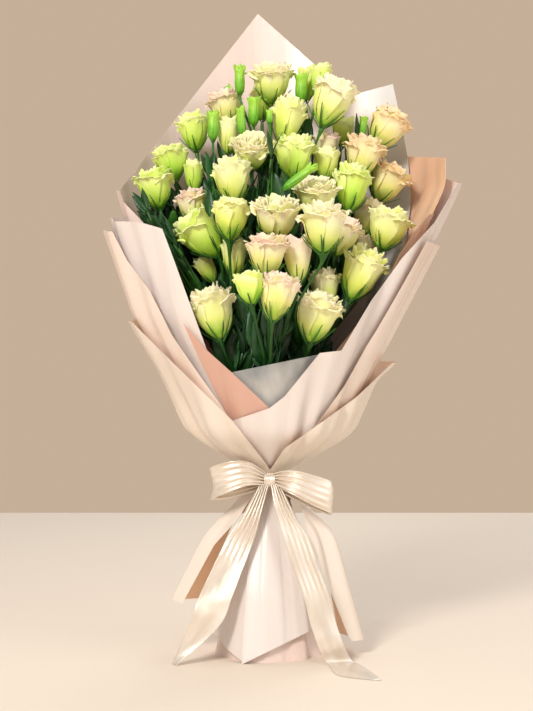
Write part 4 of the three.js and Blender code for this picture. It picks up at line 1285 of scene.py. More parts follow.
def hides(points: np.ndarray, centre: np.ndarray, reach: np.ndarray) -> bool:
    """Tell if a point lies in front of one of the balls, as seen from the front.

    Args:
        points: The points.
        centre: Middles of the balls.
        reach: Their radii.

    Returns:
        True if one does.
    """
    near = EYE_DISTANCE / (EYE_DISTANCE + points[:, 1])
    far = EYE_DISTANCE / (EYE_DISTANCE + centre[:, 1])
    across = (points[:, 0] * near)[:, None] - (centre[:, 0] * far)[None]
    up = ((points[:, 2] - EYE_HEIGHT) * near)[:, None] - ((centre[:, 2] - EYE_HEIGHT) * far)[None]
    before = points[:, 1][:, None] < centre[:, 1][None]
    return bool(((across**2 + up**2 < (0.92 * reach[None]) ** 2) & before).any())


class SideStems:
    """The long stems from the waist of the wrap, up to the blooms' necks or to leaves alone."""

    def __init__(self, blooms: list[Spot], seed: int) -> None:
        """Find the stems that clear every bloom but their own.

        Args:
            blooms: Foot, axis, width and height of every bloom and bud.
            seed: Seed of the scatter.
        """
        self.paths: list[np.ndarray] = []
        self.tips: list[Spot] = []
        rng = np.random.default_rng(seed)
        centre, reach = filling_balls(blooms)
        ends = [(np.array(bloom.at - bloom.axis * 9), number, 14) for number, bloom in enumerate(blooms)]
        for _ in range(LEAFY_ENDS):
            up, turn, out = rng.uniform(440, 650), rng.uniform(0, 2 * math.pi), rng.uniform(0.35, 0.92)
            if rng.random() < 0.3:
                up, turn, out = rng.uniform(470, 580), rng.uniform(2.6, 3.9), rng.uniform(0.78, 0.94)
            half = half_widths(up)
            across = half[int(math.cos(turn) > 0)] * math.cos(turn)
            deep = half[2 + int(math.sin(turn) > 0)] * math.sin(turn)
            ends.append((np.array([across * out, deep * out, up]), -1, 4))
        for neck, number, tries in ends:
            own = np.arange(len(centre)) // len(FILLING) == number
            for _ in range(tries):
                turn, out = rng.uniform(0, 2 * math.pi), rng.uniform(0.5, 4.5)
                foot = np.array([out * math.cos(turn), out * math.sin(turn), 226.0])
                knee = foot + (neck - foot) * 0.38 + np.array([0, 0, 26]) + rng.uniform(-9, 9, 3) * (1, 1, 0)
                bend = foot + (neck - foot) * 0.74 + np.array([0, 0, 12]) + rng.uniform(-9, 9, 3) * (1, 1, 0)
                path = smooth_path(np.array([foot, knee, bend, neck]), 22)
                others = centre[~own], reach[~own]
                inside = bool((wrap_share(path) < 0.92).all())
                if least_gap(path, *others) > STEM_CLEARANCE and inside and not hides(path, *others):
                    self.paths.append(path if number >= 0 else path[:-LEAFY_TOP])
                    if number < 0:
                        ahead = path[-1] - path[-1 - LEAFY_TOP]
                        long = float(np.linalg.norm(ahead))
                        for side in (-0.22, 0.22):
                            axis = ahead / long + side * np.array([1.0, 0.4, 0.0])
                            axis = Vector(axis).normalized()
                            self.tips.append(Spot(Vector(path[-1 - LEAFY_TOP]), axis, long * 0.3, long, 0.5))
                    break

    def build(self) -> bpy.types.Object:
        """Make the stems."""
        surface = Surface()
        for path in self.paths:
            share = np.linspace(0, 1, len(path))
            surface.tube(path, 1.55 - 0.45 * share, 8, np.clip((path[:, 2] - 300) / 500, 0, 1))
        return surface.piece("side_stems", [MATERIALS[Greens.STEM]])

    def dress(self, made: bpy.types.Object) -> None:
        """Let the stems ride with the bouquet."""
        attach(made, "root")


def leaf_spots(blooms: list[Spot], stems: SideStems, wanted: int, seed: int) -> list[Spot]:
    """Find where leaves can stand on the stems, clear of the blooms and inside the wrap.

    Args:
        blooms: Foot, axis, width and height of every bloom and bud.
        stems: The side stems.
        wanted: How many leaves.
        seed: Seed of the scatter.

    Returns:
        A spot for each leaf.
    """
    rng = np.random.default_rng(seed)
    solids = [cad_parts[f"leafy_stem_{name}"].data for name in HEADINGS]
    roots = np.concatenate([np.array([vert.co for vert in solid.vertices]) for solid in solids]) / METRE
    roots = np.concatenate([roots[::3], *stems.paths])
    roots = roots[(roots[:, 2] > 285) & (roots[:, 2] < 640)]
    centre, reach = filling_balls(blooms)
    out = list(stems.tips)
    for _ in range(wanted * 60):
        if len(out) == wanted:
            break
        root = roots[rng.integers(len(roots))]
        turn = rng.uniform(0, 2 * math.pi)
        lean = rng.uniform(0.0, 0.55)
        long = rng.uniform(38, 70) * (1.0 if root[2] < 400 else 0.72)
        axis = np.array([math.cos(turn) * math.sin(lean), math.sin(turn) * math.sin(lean), math.cos(lean)])
        line = root + axis * (np.linspace(0.25, 1.08, 5) * long)[:, None]
        inside = bool((wrap_share(line, LEAF_INSET) < 1).all())
        if least_gap(line, centre, reach) > LEAF_CLEARANCE and inside and not hides(line, centre, reach):
            wide = long * (rng.uniform(0.38, 0.52) if root[2] < 400 else rng.uniform(0.28, 0.4))
            out.append(Spot(Vector(root), Vector(axis), wide, long, rng.uniform(0, 1)))
    return out


# ------------------------------------------------------------------ paper

# Height, then the half widths of the innermost sheet to the left, right, front and back, and how many
# times wider than at the waist the sheets stand apart.
WRAP = np.array([
    [0, 60, 60, 60, 60, 1],
    [80, 45, 45, 45, 45, 1],
    [150, 25, 25, 25, 25, 1],
    [WAIST_LOW, 8, 8, 8, 8, 1],
    [WAIST_HIGH, 8, 8, 8, 8, 1],
    [262, 58, 60, 52, 50, 2.2],
    [400, 128, 122, 104, 98, 2.7],
    [560, 178, 200, 104, 126, 3],
    [812, 192, 207, 99, 149, 3],
])
WING_SIDES = {"left": 0, "right": 1}
# Heights over which the wall's bends are softened.
SOFTENING = (-9, -4, 0, 4, 9)
SIDES = 180


@dataclass(frozen=True)
class Sheet:
    """One sheet of the wrap, cut by the outlines of its near and far half as seen from the front."""

    name: str
    finish: PaperFinish
    lining: PaperFinish
    front: Outline
    back: Outline | None = None
    hem: float = 0.0
    wing: tuple[str, Outline] | None = None

    def _heights(self) -> tuple[float, float]:
        """Return the lowest and highest row of the wall."""
        ups = [up for _, up in [*self.front, *(self.back or [])]]
        return max(self.hem, min(ups), 0.0), min(WRAP[-1, 0], max(ups) + ABOVE_SEEN)

    def _profile(self, layer: int, rows: np.ndarray) -> np.ndarray:
        """Return the half widths at heights: left, right, front and back, rows by 4."""
        low, high = self._heights()
        bends = {low, high, *WRAP[:, 0]}
        if self.wing:
            bends |= {height for height, _ in self.wing[1]}
        knots = np.array(sorted(z for z in bends if low <= z <= high))
        size = np.stack([np.interp(knots, WRAP[:, 0], WRAP[:, i]) for i in range(1, 6)], axis=1)
        size[:, :4] += layer * LAYER_PITCH * size[:, 4:5]
        if self.wing:
            side = WING_SIDES[self.wing[0]]
            reach = np.array(self.wing[1])
            held = knots <= reach[-1, 0]
            flap = np.interp(knots, reach[:, 0], reach[:, 1])
            size[:, side] = np.where(held, np.maximum(size[:, side], flap), size[:, side])
        out = np.zeros((len(rows), 4))
        for shift in SOFTENING:
            at = np.clip(rows + shift, low, high)
            out += 1 / len(SOFTENING) * np.stack([np.interp(at, knots, size[:, i]) for i in range(4)], axis=1)
        return out

    @staticmethod
    def _folds(turn: np.ndarray, z: np.ndarray) -> np.ndarray:
        """Return how far out the folds carry the paper, as a share of the half width.

        Args:
            turn: Turn round the axis.
            z: Height.

        Returns:
            The shares.
        """
        wander = 0.35 * np.sin(2 * turn + 0.6) + 0.25 * np.sin(3 * turn + 2.1)
        pleat = np.arcsin(0.97 * np.sin(11 * turn + 4 * wander)) / (math.pi / 2)
        small = np.arcsin(0.96 * np.sin(23 * turn + 5 * wander + 1.0)) / (math.pi / 2)
        broad = np.arcsin(0.97 * np.sin(7 * turn + 3 * wander + 2.2)) / (math.pi / 2)
        soft = np.sin(5 * turn + 1.7 + 0.004 * z) + 0.6 * np.sin(8 * turn + 0.5 - 0.006 * z)
        above = smooth_step(WAIST_HIGH + 2, 246, z) * (1 - smooth_step(258, 350, z))
        below = 1 - smooth_step(150, WAIST_LOW - 4, z)
        high = smooth_step(330, 560, z)
        long = smooth_step(280, 380, z) * (1 - 0.75 * smooth_step(470, 640, z))
        crisp = 0.6 * pleat + 0.4 * small
        skirt = 0.85 * broad + 0.06 * small
        return (
            above * 0.085 * (0.35 + crisp)
            + below * 0.1 * skirt
            + long * 0.022 * (0.6 + 0.9 * pleat + 0.45 * small)
            + high * 0.012 * soft
        )

    def _wall(self, layer: int) -> bpy.types.Object:
        """Make the closed wall round the whole wrap."""
        low, high = self._heights()
        rows = np.unique(np.concatenate([np.arange(low, high, 5.0), [high]]))
        turn = 2 * math.pi * (np.arange(SIDES) + 0.5) / SIDES
        half = self._profile(layer, rows)
        c, s = np.cos(turn)[None, :], np.sin(turn)[None, :]
        across = np.where(c > 0, half[:, 1:2], half[:, 0:1])
        deep = np.where(s > 0, half[:, 3:4], half[:, 2:3])
        z = rows[:, None] + 0 * c
        own = 0.35 * np.sin(6 * turn)[None, :] * smooth_step(230, 420, z)
        share = 1.013 * (1 + self._folds(turn[None, :] + 0 * z, z))
        shells = []
        for out in (0.0, PAPER):
            x = (across + own + out) * share * c
            y = (deep + own + out) * share * s
            shells.append(np.stack([x, y, z], axis=2))
        count = len(rows) * SIDES
        index = np.arange(count).reshape(len(rows), SIDES)
        right = np.roll(index, -1, axis=1)
        a, b, cc, d = index[:-1], right[:-1], right[1:], index[1:]
        inner = np.stack([a, d, cc, b], axis=2).reshape(-1, 4)
        outer = np.stack([a, b, cc, d], axis=2).reshape(-1, 4) + count
        foot = np.stack([index[0], right[0], right[0] + count, index[0] + count], axis=1)
        rim = np.stack([index[-1], index[-1] + count, right[-1] + count, right[-1]], axis=1)
        faces = np.concatenate([inner, outer, foot, rim])
        places = np.concatenate([shell.reshape(-1, 3) for shell in shells]) * METRE
        mesh = bpy.data.meshes.new("wall")
        mesh.from_pydata(places.tolist(), [], faces.tolist())
        return placed("wall", mesh)

    @staticmethod
    def _beam(outline: Outline, near: float, far: float) -> bpy.types.Object:
        """Make all that lies behind an outline between two depths."""
        count = len(outline)
        area = sum(a[0] * b[1] - b[0] * a[1] for a, b in zip(outline, outline[1:] + outline[:1]))
        line = outline if area > 0 else outline[::-1]
        corners = [seen(*spot, near) * METRE for spot in line] + [seen(*spot, far) * METRE for spot in line]
        faces = [tuple(range(count)), tuple(range(2 * count - 1, count - 1, -1))]
        faces += [(i, i + count, (i + 1) % count + count, (i + 1) % count) for i in range(count)]
        body = bmesh.new()
        verts = [body.verts.new(corner) for corner in corners]
        for face in faces:
            body.faces.new([verts[i] for i in face])
        bmesh.ops.triangulate(body, faces=body.faces)
        bmesh.ops.recalc_face_normals(body, faces=body.faces)
        mesh = bpy.data.meshes.new("beam")
        body.to_mesh(mesh)
        body.free()
        return placed("beam", mesh)

    def build(self, layer: int) -> bpy.types.Object:
        """Cut the sheet from its wall.

        Args:
            layer: Number of the sheet from the innermost out.

        Returns:
            The sheet's object.
        """
        wall = self._wall(layer)
        beam = self._beam(self.front, -FAR, 0.05 if self.back else 0.0)
        made = [wall, beam]
        if self.back:
            far = self._beam(self.back, 0.0, FAR)
            made.append(far)
            join = beam.modifiers.new("join", "BOOLEAN")
            join.operation, join.object, join.solver = "UNION", far, "MANIFOLD"
        cut = wall.modifiers.new("cut", "BOOLEAN")
        cut.operation, cut.object, cut.solver = "INTERSECT", beam, "MANIFOLD"
        sheet = settled_copy(wall, f"paper_{self.name}")
        for one in made:
            bpy.data.objects.remove(one)
        self._map(sheet.data)
        return sheet

    def _map(self, mesh: bpy.types.Mesh) -> None:
        """Give the sheet its map, its smooth faces and its two finishes."""
        places = np.zeros(len(mesh.vertices) * 3, np.float32)
        mesh.vertices.foreach_get("co", places)
        places = places.reshape(-1, 3)
        turn = np.arctan2(places[:, 1], places[:, 0])
        fold = np.stack([np.cos(turn), np.sin(turn), places[:, 2]], axis=1)
        mesh.attributes.new("fold", "FLOAT_VECTOR", "POINT").data.foreach_set("vector", fold.ravel())
        centres = np.zeros(len(mesh.polygons) * 3, np.float32)
        normals = np.zeros(len(mesh.polygons) * 3, np.float32)
        mesh.polygons.foreach_get("center", centres)
        mesh.polygons.foreach_get("normal", normals)
        centres, normals = centres.reshape(-1, 3), normals.reshape(-1, 3)
        outward = (centres[:, :2] * normals[:, :2]).sum(axis=1)
        mesh.materials.clear()
        for finish in (self.finish, self.lining):
            mesh.materials.append(paper_material(finish))
        mesh.polygons.foreach_set("material_index", (outward < 0).astype(np.int32))
        mesh.polygons.foreach_set("use_smooth", np.ones(len(mesh.polygons), dtype=bool))
        mesh.set_sharp_from_angle(angle=math.radians(48))

    def dress(self, made: bpy.types.Object) -> None:
        """Put the sheet in the place of its solid."""
        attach(made, "root")
        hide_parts(f"sheet_{self.name}")


PAPERS: dict[str, bpy.types.Material] = {}


def paper_material(finish: PaperFinish) -> bpy.types.Material:
    """Return the material of a finish, made once."""
    if finish.name not in PAPERS:
        PAPERS[finish.name] = finish.material()
    return PAPERS[finish.name]


PEARL = PaperFinish("paper_pearl", "#ead6ce", "#ddbcae", 0.55)
SILVER = PaperFinish("paper_silver", "#e2dedc", "#ccc8c6", 0.5)
PEACH = PaperFinish("paper_peach", "#efc6a8", "#e4b08c", 0.5)
LINING = PaperFinish("paper_lining", "#f4d4b4", "#ecc2a0", 0.5)
GREY = PaperFinish("paper_grey", "#c2beb8", "#7e8488", 0.95, 0.6, 26.0)
WHITE = PaperFinish("paper_white", "#e6dad4", "#d0c2b8", 0.4)
PINK = PaperFinish("paper_pink", "#d2a694", "#c69880", 0.6)
CREAM = PaperFinish("paper_cream", "#ead8cc", "#dcc2ae", 0.5)
SATIN = PaperFinish("paper_satin", "#e6d8ca", "#d8c2ae", 0.5, 0.34)

SHEETS: tuple[Sheet, ...] = (
    Sheet("back", PEARL, PEARL,
          [(-FAR, 552), (-178, 554), (-173, 540), (-150, 516), (-124, 468), (-86, 380), (-30, 236),
           (FAR, 236), (FAR, -40), (-FAR, -40)],
          [(-FAR, 552), (-178, 554), (-12, 766), (54, 707), (104, 668), (132, 636), (144, 590),
           (140, 470), (74, 302), (38, 236), (FAR, 236), (FAR, -40), (-FAR, -40)]),
    Sheet("silver", SILVER, SILVER,
          [(-FAR, 236), (FAR, 236), (FAR, 0), (-FAR, 0)],
          [(86, 664), (106, 670), (150, 682), (158, 644), (168, 593), (172, 542), (164, 482), (98, 326),
           (38, 236), (FAR, 236), (FAR, 0), (-FAR, 0), (-FAR, 236), (-7, 236), (38, 326), (62, 482)],
          HIDDEN_HEM),
    Sheet("peach", PEACH, PEACH,
          [(FAR, 526), (194, 526), (174, 502), (158, 478), (130, 422), (82, 362), (34, 254), (34, 236),
           (-FAR, 236), (-FAR, 0), (FAR, 0)],
          [(152, 594), (167, 595), (214, 593), (FAR, 593), (FAR, 0), (-FAR, 0), (-FAR, 236), (26, 236),
           (74, 326), (134, 470), (149, 542)], HIDDEN_HEM),
    Sheet("grey", GREY, GREY,
          [(-76, 329), (-43, 336), (79, 361), (118, 367), (92, 320), (38, 242), (30, 0), (-30, 0),
           (-34, 236), (-64, 302)], None, HIDDEN_HEM),
    Sheet("left_roll", WHITE, WHITE,
          [(-FAR, 517), (-175, 517), (-154, 516), (-136, 511), (-127, 508), (-112, 468), (-74, 364),
           (-34, 266), (-7, 230), (0, 216), (2, 199), (-7, 182), (-12, 110), (-32, -11), (-50, 4),
           (-66, 24), (-82, 38), (-52, 158), (-22, 199), (-FAR, 210)],
          [(-FAR, 521), (-178, 521), (-160, 528), (-130, 506), (-94, 386), (-34, 236), (FAR, 236),
           (FAR, HIDDEN_HEM), (-FAR, HIDDEN_HEM)]),
    Sheet("pink", PINK, PINK,
          [(-102, 395), (-73, 362), (-44, 336), (-10, 304), (17, 278), (26, 236), (38, 228), (38, 0),
           (-34, 0), (-34, 218), (-52, 290), (-82, 350)], None, HIDDEN_HEM),
    Sheet("white_right", WHITE, WHITE,
          [(FAR, 563), (228, 563), (200, 516), (161, 473), (124, 422), (88, 362), (62, 359), (20, 307),
           (2, 293), (-42, 278), (-48, 254), (-28, 218), (-10, 199), (-7, 182), (-23, 120), (-32, -15),
           (48, 24), (74, 34), (38, 158), (34, 199), (FAR, 199)],
          [(188, 572), (208, 570), (228, 563), (FAR, 560), (FAR, HIDDEN_HEM), (-FAR, HIDDEN_HEM),
           (-FAR, 236), (26, 236), (86, 326), (158, 482)]),
    Sheet("left_edge", CREAM, WHITE,
          [(-FAR, 505), (-187, 505), (-169, 470), (-142, 434), (-115, 380), (-82, 332), (-56, 296),
           (-14, 228), (-14, 0), (-FAR, 0)],
          [(-FAR, 506), (-187, 506), (-174, 511), (-142, 482), (-94, 374), (-34, 236), (FAR, 236),
           (FAR, 0), (-FAR, 0)], HIDDEN_HEM),
    Sheet("right_cream", CREAM, CREAM,
          [(FAR, 487), (206, 487), (191, 494), (173, 461), (151, 422), (130, 386), (118, 367),
           (92, 320), (48, 259), (14, 214), (-FAR, 214), (-FAR, 203), (FAR, 203)],
          [(176, 482), (FAR, 487), (FAR, 0), (-FAR, 0), (-FAR, 228), (26, 228), (110, 362)],
          HIDDEN_HEM),
    Sheet("lower_left", SATIN, LINING,
          [(-FAR, 397), (-164, 397), (-125, 358), (-82, 316), (-43, 278), (-2, 226), (4, 216),
           (12, 199), (-22, 182), (-38, 158), (-65, 128), (-103, 58), (-113, 62), (-FAR, 62)],
          [(-FAR, 397), (-164, 397), (-148, 406), (-106, 326), (-46, 254), (-28, 218), (86, 218),
           (86, 182), (-10, 182), (-38, 164), (-85, 58), (-113, 62), (-FAR, 58)],
          0.0, ("left", [(14, 113), (60, 113), (134, 77), (150, 66)])),
    Sheet("lower_right", SATIN, LINING,
          [(FAR, 347), (149, 347), (106, 306), (49, 265), (20, 245), (2, 218), (-7, 216), (-7, 199),
           (38, 182), (50, 134), (97, 18), (101, 13), (109, 14), (FAR, 14)],
          [(130, 349), (FAR, 347), (FAR, 14), (86, 14), (68, 110), (38, 182), (20, 201), (-82, 201),
           (-82, 218), (38, 218), (74, 266)],
          0.0, ("right", [(14, 109), (134, 78), (150, 71), (200, 22), (216, 22), (330, 127), (345, 149)])),
)


# ------------------------------------------------------------------ ribbon

KNOT = np.array([2.0, -33.0, 209.0])
KNOT_SIZE = np.array([7.6, 8.4, 9.4])
LOOPS = (
    ((-2, -34, 211), (-24, -47, 218), (-46, -49, 214), (-66, -38, 206), (-64, -24, 202), (-42, -24, 201),
     (-4, -29, 206)),
    ((6, -34, 211), (28, -48, 208), (52, -50, 199), (73, -43, 190), (70, -34, 187), (46, -33, 193),
     (8, -31, 205)),
)
RIBBON_WIDTH = 38.0
PINCHED = 9.0
# The waves of the pleats across a strip, as radians from its middle to its edge, how much a wave's squared
# slope adds to the cloth that it takes up, and how many times narrower the ribbon may be gathered.
PLEATS = 15.0
PLEAT_SHARE = 0.43
TIGHTEST = 4.3
# Tails as their left and right edges, each as across, up and depth, and None for the depth where the
# ribbon lies on the table.
TAILS = (
    ((-9, 205, -34, 1, 203, -34), (-28, 168, -47, -8, 168, -47), (-50, 134, -55, -17, 134, -52),
     (-68, 98, -63, -31, 98, -60), (-84, 64, -68, -44, 64, -67), (-92, 40, -72, -59, 31, -73),
     (-115, -14, None, -110, -16, None)),
    ((3, 204, -35, 14, 202, -35), (7, 178, -47, 32, 166, -47), (14, 152, -52, 49, 134, -54),
     (28, 108, -60, 59, 105, -60), (43, 64, -67, 70, 76, -66), (52, 30, -71, 80, 40, -70),
     (62, 2, -76, 90, 11, -74), (72, -15, None, 102, -12, None), (85, -28, None, 118, -20, None),
     (131, -34, None, 136, -33, None)),
)


class Ribbon:
    """The satin ribbon: the band round the waist, the knot, two loops and two tails."""

    def __init__(self) -> None:
        """Start with nothing laid."""
        self.surface = Surface()
        self.area = 0.0
        self.length = 0.0

    def _strip(self, grid: np.ndarray) -> None:
        """Add a strip and count the length and area of its cloth."""
        self.surface.slab(grid, RIBBON, np.broadcast_to(0.5, grid.shape[:2]))
        middle = grid[:, grid.shape[1] // 2]
        self.length += float(np.linalg.norm(np.diff(middle, axis=0), axis=1).sum())
        along, across = np.diff(grid, axis=0)[:, :-1], np.diff(grid, axis=1)[:-1]
        self.area += float(np.linalg.norm(np.cross(along, across), axis=2).sum())

    @staticmethod
    def _pleats(half: np.ndarray, u: np.ndarray, phase: float) -> np.ndarray:
        """Fold the ribbon's full width into the width that shows.

        Args:
            half: Half of the width that shows at each row, in millimetres.
            u: Places across the strip, from -1 to 1.
            phase: Where the first pleat starts.

        Returns:
            How far each point of the strip moves out, in millimetres.
        """
        tight = np.clip(RIBBON_WIDTH / 2 / half, 1.0, TIGHTEST)
        slope = np.sqrt((tight**2 - 1) / PLEAT_SHARE)
        return (slope * half / PLEATS)[:, None] * np.sin(PLEATS * u + phase)[None, :]

    def _loop(self, points: Sequence[Sequence[float]], phase: float) -> None:
        """Add a loop that the knot gathers at both ends."""
        rows, columns = 84, 61
        path = smooth_path(points, rows)
        share = np.linspace(0, 1, rows)
        arc = np.sin(math.pi * share)
        half = (PINCHED + (RIBBON_WIDTH - PINCHED) * arc**0.62) / 2
        ahead = np.gradient(path, axis=0)
        out = np.cross(ahead, np.array([0.0, 0.0, 1.0]))
        out /= np.linalg.norm(out, axis=1, keepdims=True)
        u = np.linspace(-1, 1, columns)
        curve = 2.2 * (1 - u**2)[None, :] * arc[:, None]
        grid = path[:, None, :] + (curve + self._pleats(half, u, phase))[..., None] * out[:, None, :]
        grid[:, :, 2] -= u[None, :] * half[:, None]
        grid[:, :, 0] += 0.9 * np.sin(3 * u + phase)[None, :] * arc[:, None]
        self._strip(grid)

    def _tail(self, table: Sequence[Sequence[Any]], phase: float) -> None:
        """Add a tail that hangs from the knot to the table."""
        low = RIBBON / 2 + 0.35

        def place(across: float, up: float, depth: float | None) -> list[float]:
            if depth is not None:
                return list(seen(across, up, depth))
            nearer = (EYE_HEIGHT - low) / (EYE_HEIGHT - up)
            return [across * nearer, (nearer - 1) * EYE_DISTANCE, low]

        edges = np.array([[*place(*row[:3]), *place(*row[3:])] for row in table])
        rows, columns = 96, 61
        line = smooth_path(edges, rows)
        left, right = line[:, None, :3], line[:, None, 3:]
        u = np.linspace(0, 1, columns)[None, :, None]
        grid = left + (right - left) * u
        share = np.linspace(0, 1, rows)[:, None]
        half = np.linalg.norm(line[:, 3:] - line[:, :3], axis=1) / 2
        pleats = self._pleats(half, 2 * u[0, :, 0] - 1, phase) * (1 - smooth_step(0.3, 0.5, share))
        ripple = pleats + 2.2 * np.sin(math.pi * u[..., 0]) * (
            np.sin(9 * share + phase) * (1 - smooth_step(0.6, 0.75, share))
        )
        grid[:, :, 1] -= ripple
        grid[:, :, 2] = np.maximum(grid[:, :, 2], low)
        self._strip(grid)

    def _band(self) -> None:
        """Add the band round the waist, its end lying over its start."""
        columns, rows = 61, 150
        turn = np.linspace(-0.1, 2 * math.pi + 0.1, rows) - math.pi / 2
        half = (WAIST_HIGH - WAIST_LOW) / 2 - 2.5
        u = np.linspace(1, -1, columns)
        z = (WAIST_HIGH + WAIST_LOW) / 2 + half * u
        crumple = self._pleats(np.full(rows, half), u, 0.5)
        radius = 8 + len(SHEETS) * LAYER_PITCH + 0.45 + crumple.max() + 0.75 * np.linspace(0, 1, rows)
        grid = np.stack([
            (radius[:, None] + crumple) * np.cos(turn)[:, None],
            (radius[:, None] + crumple) * np.sin(turn)[:, None],
            z[None, :] + 0 * turn[:, None],
        ], axis=2)
        self._strip(grid)

    def _knot(self) -> None:
        """Add the knot: a strip turned over itself, with upright pleats."""
        rows, columns = 64, 33
        turn = np.linspace(-0.15, 2 * math.pi + 0.15, rows) + math.pi / 2
        u = np.linspace(-1, 1, columns)
        waist = 0.82 + 0.18 * np.abs(u) ** 2
        pleat = 0.055 * np.sin(17 * u + 0.4) + 0.03 * np.sin(31 * u)
        reach = (np.sqrt(np.maximum(0.05, 1 - (0.86 * u) ** 2)) * waist)[None, :] * (
            1 + pleat[None, :] * (0.7 + 0.3 * np.sin(3 * turn)[:, None])
        )
        reach = reach * (0.97 + 0.06 * np.linspace(0, 1, rows)[:, None])
        grid = np.stack([
            KNOT[0] + KNOT_SIZE[0] * u[None, :] * (0.94 + 0.06 * np.cos(turn)[:, None]),
            KNOT[1] + KNOT_SIZE[1] * reach * np.cos(turn)[:, None],
            KNOT[2] + KNOT_SIZE[2] * reach * np.sin(turn)[:, None],
        ], axis=2)
        self._strip(grid)

    def build(self) -> bpy.types.Object:
        """Lay the whole ribbon."""
        for number, points in enumerate(LOOPS):
            self._loop(points, 1.3 + 2.1 * number)
        for number, table in enumerate(TAILS):
            self._tail(table, 0.4 + 1.9 * number)
        self._band()
        self._knot()
        # The satin's first colour is its lit tone and the second its painted shade.
        return self.surface.piece("ribbon_bow", [SatinFinish("satin", "#ece2d6", "#ccb698").material()])

    def dress(self, made: bpy.types.Object) -> None:
        """Put the ribbon in the place of its solid, and say what it is cut from."""
        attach(made, "root")
        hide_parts("satin_ribbon")
        LOG.info("ribbon %.0f mm long, %.0f square mm", self.length, self.area)


# ------------------------------------------------------------------ studio


class Studio:
    """The camera, the floor and the lights."""

    def camera(self) -> None:
        """Set the camera where the photograph was taken from."""
        lens = bpy.data.cameras.new("camera")
        lens.sensor_fit = "VERTICAL"
        lens.sensor_height = 24.0
        lens.lens = 24.0 * FOCAL_PIXELS / PHOTO_HEIGHT
        lens.clip_end = 30
        made = placed("camera", lens)
        made.location = (EYE_ACROSS * METRE, -EYE_DISTANCE * METRE, EYE_HEIGHT * METRE)
        made.rotation_euler = (math.pi / 2, 0, 0)
        bpy.context.scene.camera = made

    def floor(self) -> None:
        """Lay the plain pale floor."""
        mesh = bpy.data.meshes.new("floor")
        reach = 1.55
        mesh.from_pydata([(-reach, -reach, 0), (reach, -reach, 0), (reach, reach, 0), (-reach, reach, 0)], [],
                         [(0, 1, 2, 3)])
        mesh.materials.append(PlainFinish("floor_pale", "#eadac8").material())
        placed("floor", mesh)

    def _light(self, name: str, place: Sequence[float], power: float, size: float, tone: Colour) -> None:
        """Hang one soft square light that faces the bouquet."""
        lamp = bpy.data.lights.new(name, "AREA")
        lamp.energy, lamp.size, lamp.color = power, size, tone
        made = placed(name, lamp)
        made.location = place
        made.rotation_euler = (Vector((0, 0, 0.4)) - Vector(place)).to_track_quat("-Z", "Y").to_euler()

    def lights(self) -> None:
        """Hang the lights and set the pale surroundings, with colours shown as they are."""
        bpy.context.scene.view_settings.view_transform = "Standard"
        self._light("key", (-0.95, -2.15, 1.75), 56, 0.6, (1.0, 0.97, 0.93))
        self._light("fill", (1.9, -1.5, 0.9), 15, 1.6, (0.95, 0.98, 1.0))
        self._light("back", (0.8, 1.6, 1.7), 14, 1.4, (1.0, 0.98, 0.95))
        world = bpy.data.worlds.new("surroundings")
        world.use_nodes = True
        nodes, links = world.node_tree.nodes, world.node_tree.links
        parts = nodes.new("ShaderNodeSeparateXYZ")
        links.new(nodes.new("ShaderNodeTexCoord").outputs["Generated"], parts.inputs[0])
        ramp = nodes.new("ShaderNodeValToRGB")
        stops = ((0.25, (0.565, 0.43, 0.315, 1)), (0.36, (0.56, 0.57, 0.58, 1)))
        for element, (height, tone) in zip(ramp.color_ramp.elements, stops):
            element.position, element.color = height, tone
        links.new(parts.outputs["Z"], ramp.inputs[0])
        links.new(ramp.outputs[0], nodes["Background"].inputs["Color"])
        bpy.context.scene.world = world


def settle_buds(buds: list[Bud]) -> dict[str, list[Bud]]:
    """Find each bud's stem and depth.

    Args:
        buds: All the buds.

    Returns:
        The buds of each stem.
    """
    homes: dict[str, list[Bud]] = {}
    trees = {}
    for name in HEADINGS:
        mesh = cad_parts[f"leafy_stem_{name}"].data
        tree = KDTree(len(mesh.vertices))
        for i, vert in enumerate(mesh.vertices):
            tree.insert(vert.co, i)
        tree.balance()
        trees[name] = tree
    for bud in buds:
        found = {}
        for name, tree in trees.items():
            off = bud.settle(tree)
            found[name] = (off, bud.depth)
        home = min(found, key=lambda name: found[name][0])
        bud.depth = found[home][1]
        LOG.info("bud %s on %s at depth %.2f, %.3f mm off", bud.name, home, bud.depth, found[home][0])
        homes.setdefault(home, []).append(bud)
    return homes


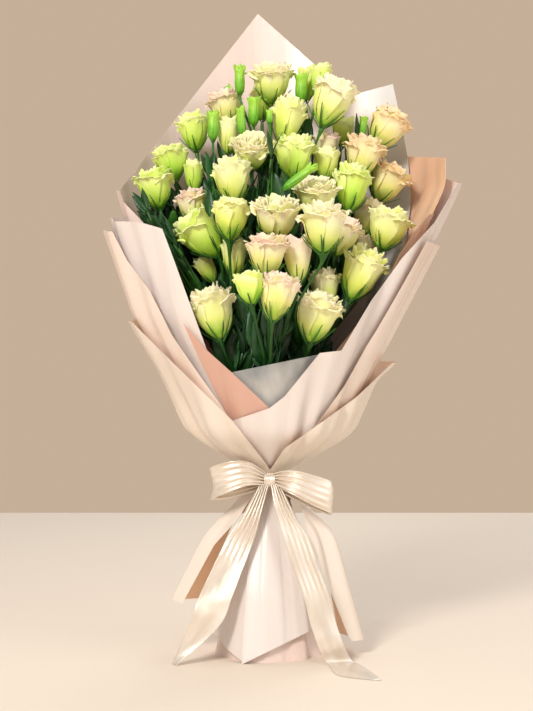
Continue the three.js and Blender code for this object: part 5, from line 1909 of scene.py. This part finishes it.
def main() -> None:
    """Build and dress the bouquet."""
    logging.basicConfig(level=logging.INFO, format="%(name)s: %(message)s")
    studio = Studio()
    studio.camera()
    studio.floor()
    studio.lights()
    for kind in (*Petals, *Greens):
        MATERIALS[kind] = kind.value.material()
    spots: list[Spot] = []
    for number, (name, (width, tall, lean, nod, petals)) in enumerate(BLOOMS.items()):
        bloom = Bloom(name, width, tall, lean, nod, petals, Seeds.BLOOMS.value + number)
        made = bloom.build()
        bloom.dress(made)
        spots.append(Spot(bloom.base(), bloom.axis, bloom.width, bloom.tall))
        LOG.info("%s: %d faces", made.name, len(made.data.polygons))
    buds = [Bud(name, row, Seeds.BUDS.value + i) for i, (name, row) in enumerate(BUDS.items())]
    homes = settle_buds(buds)
    for name, heads in HEADINGS.items():
        leaves = [
            Leaf(Vector((heads[0] * (h - STEM_APEX), heads[1] * (h - STEM_APEX), h)), seen(a, u, d), w)
            for stem, h, a, u, d, w in FRONT_LEAVES
            if stem == name
        ]
        stem = LeafyStem(name, leaves, homes.get(name, []))
        made = stem.build()
        stem.dress(made)
        LOG.info("%s: %d faces", made.name, len(made.data.polygons))
    for bud in buds:
        base = seen(bud.row[0], bud.row[1], bud.depth) - bud.axis * (bud.size[1] / 2)
        spots.append(Spot(base, bud.axis, bud.size[0], bud.size[1] * 0.8))
    sepals = Sepals("sepals", spots, 5, 0.35, Greens.SEPAL)
    stems = SideStems(spots, Seeds.STEMS.value)
    made = stems.build()
    stems.dress(made)
    LOG.info("%s: %d stems", made.name, len(stems.paths))
    foliage = Foliage("foliage", leaf_spots(spots, stems, LEAVES, Seeds.LEAVES.value), 1, 0.12, Greens.LEAF)
    for whorls in (sepals, foliage):
        made = whorls.build()
        whorls.dress(made)
        LOG.info("%s: %d spots, %d faces", made.name, len(whorls.spots), len(made.data.polygons))
    for layer, sheet in enumerate(SHEETS):
        made = sheet.build(layer)
        sheet.dress(made)
        LOG.info("%s: %d faces", made.name, len(made.data.polygons))
    ribbon = Ribbon()
    ribbon.dress(ribbon.build())


if __name__ == "__main__":
    main()
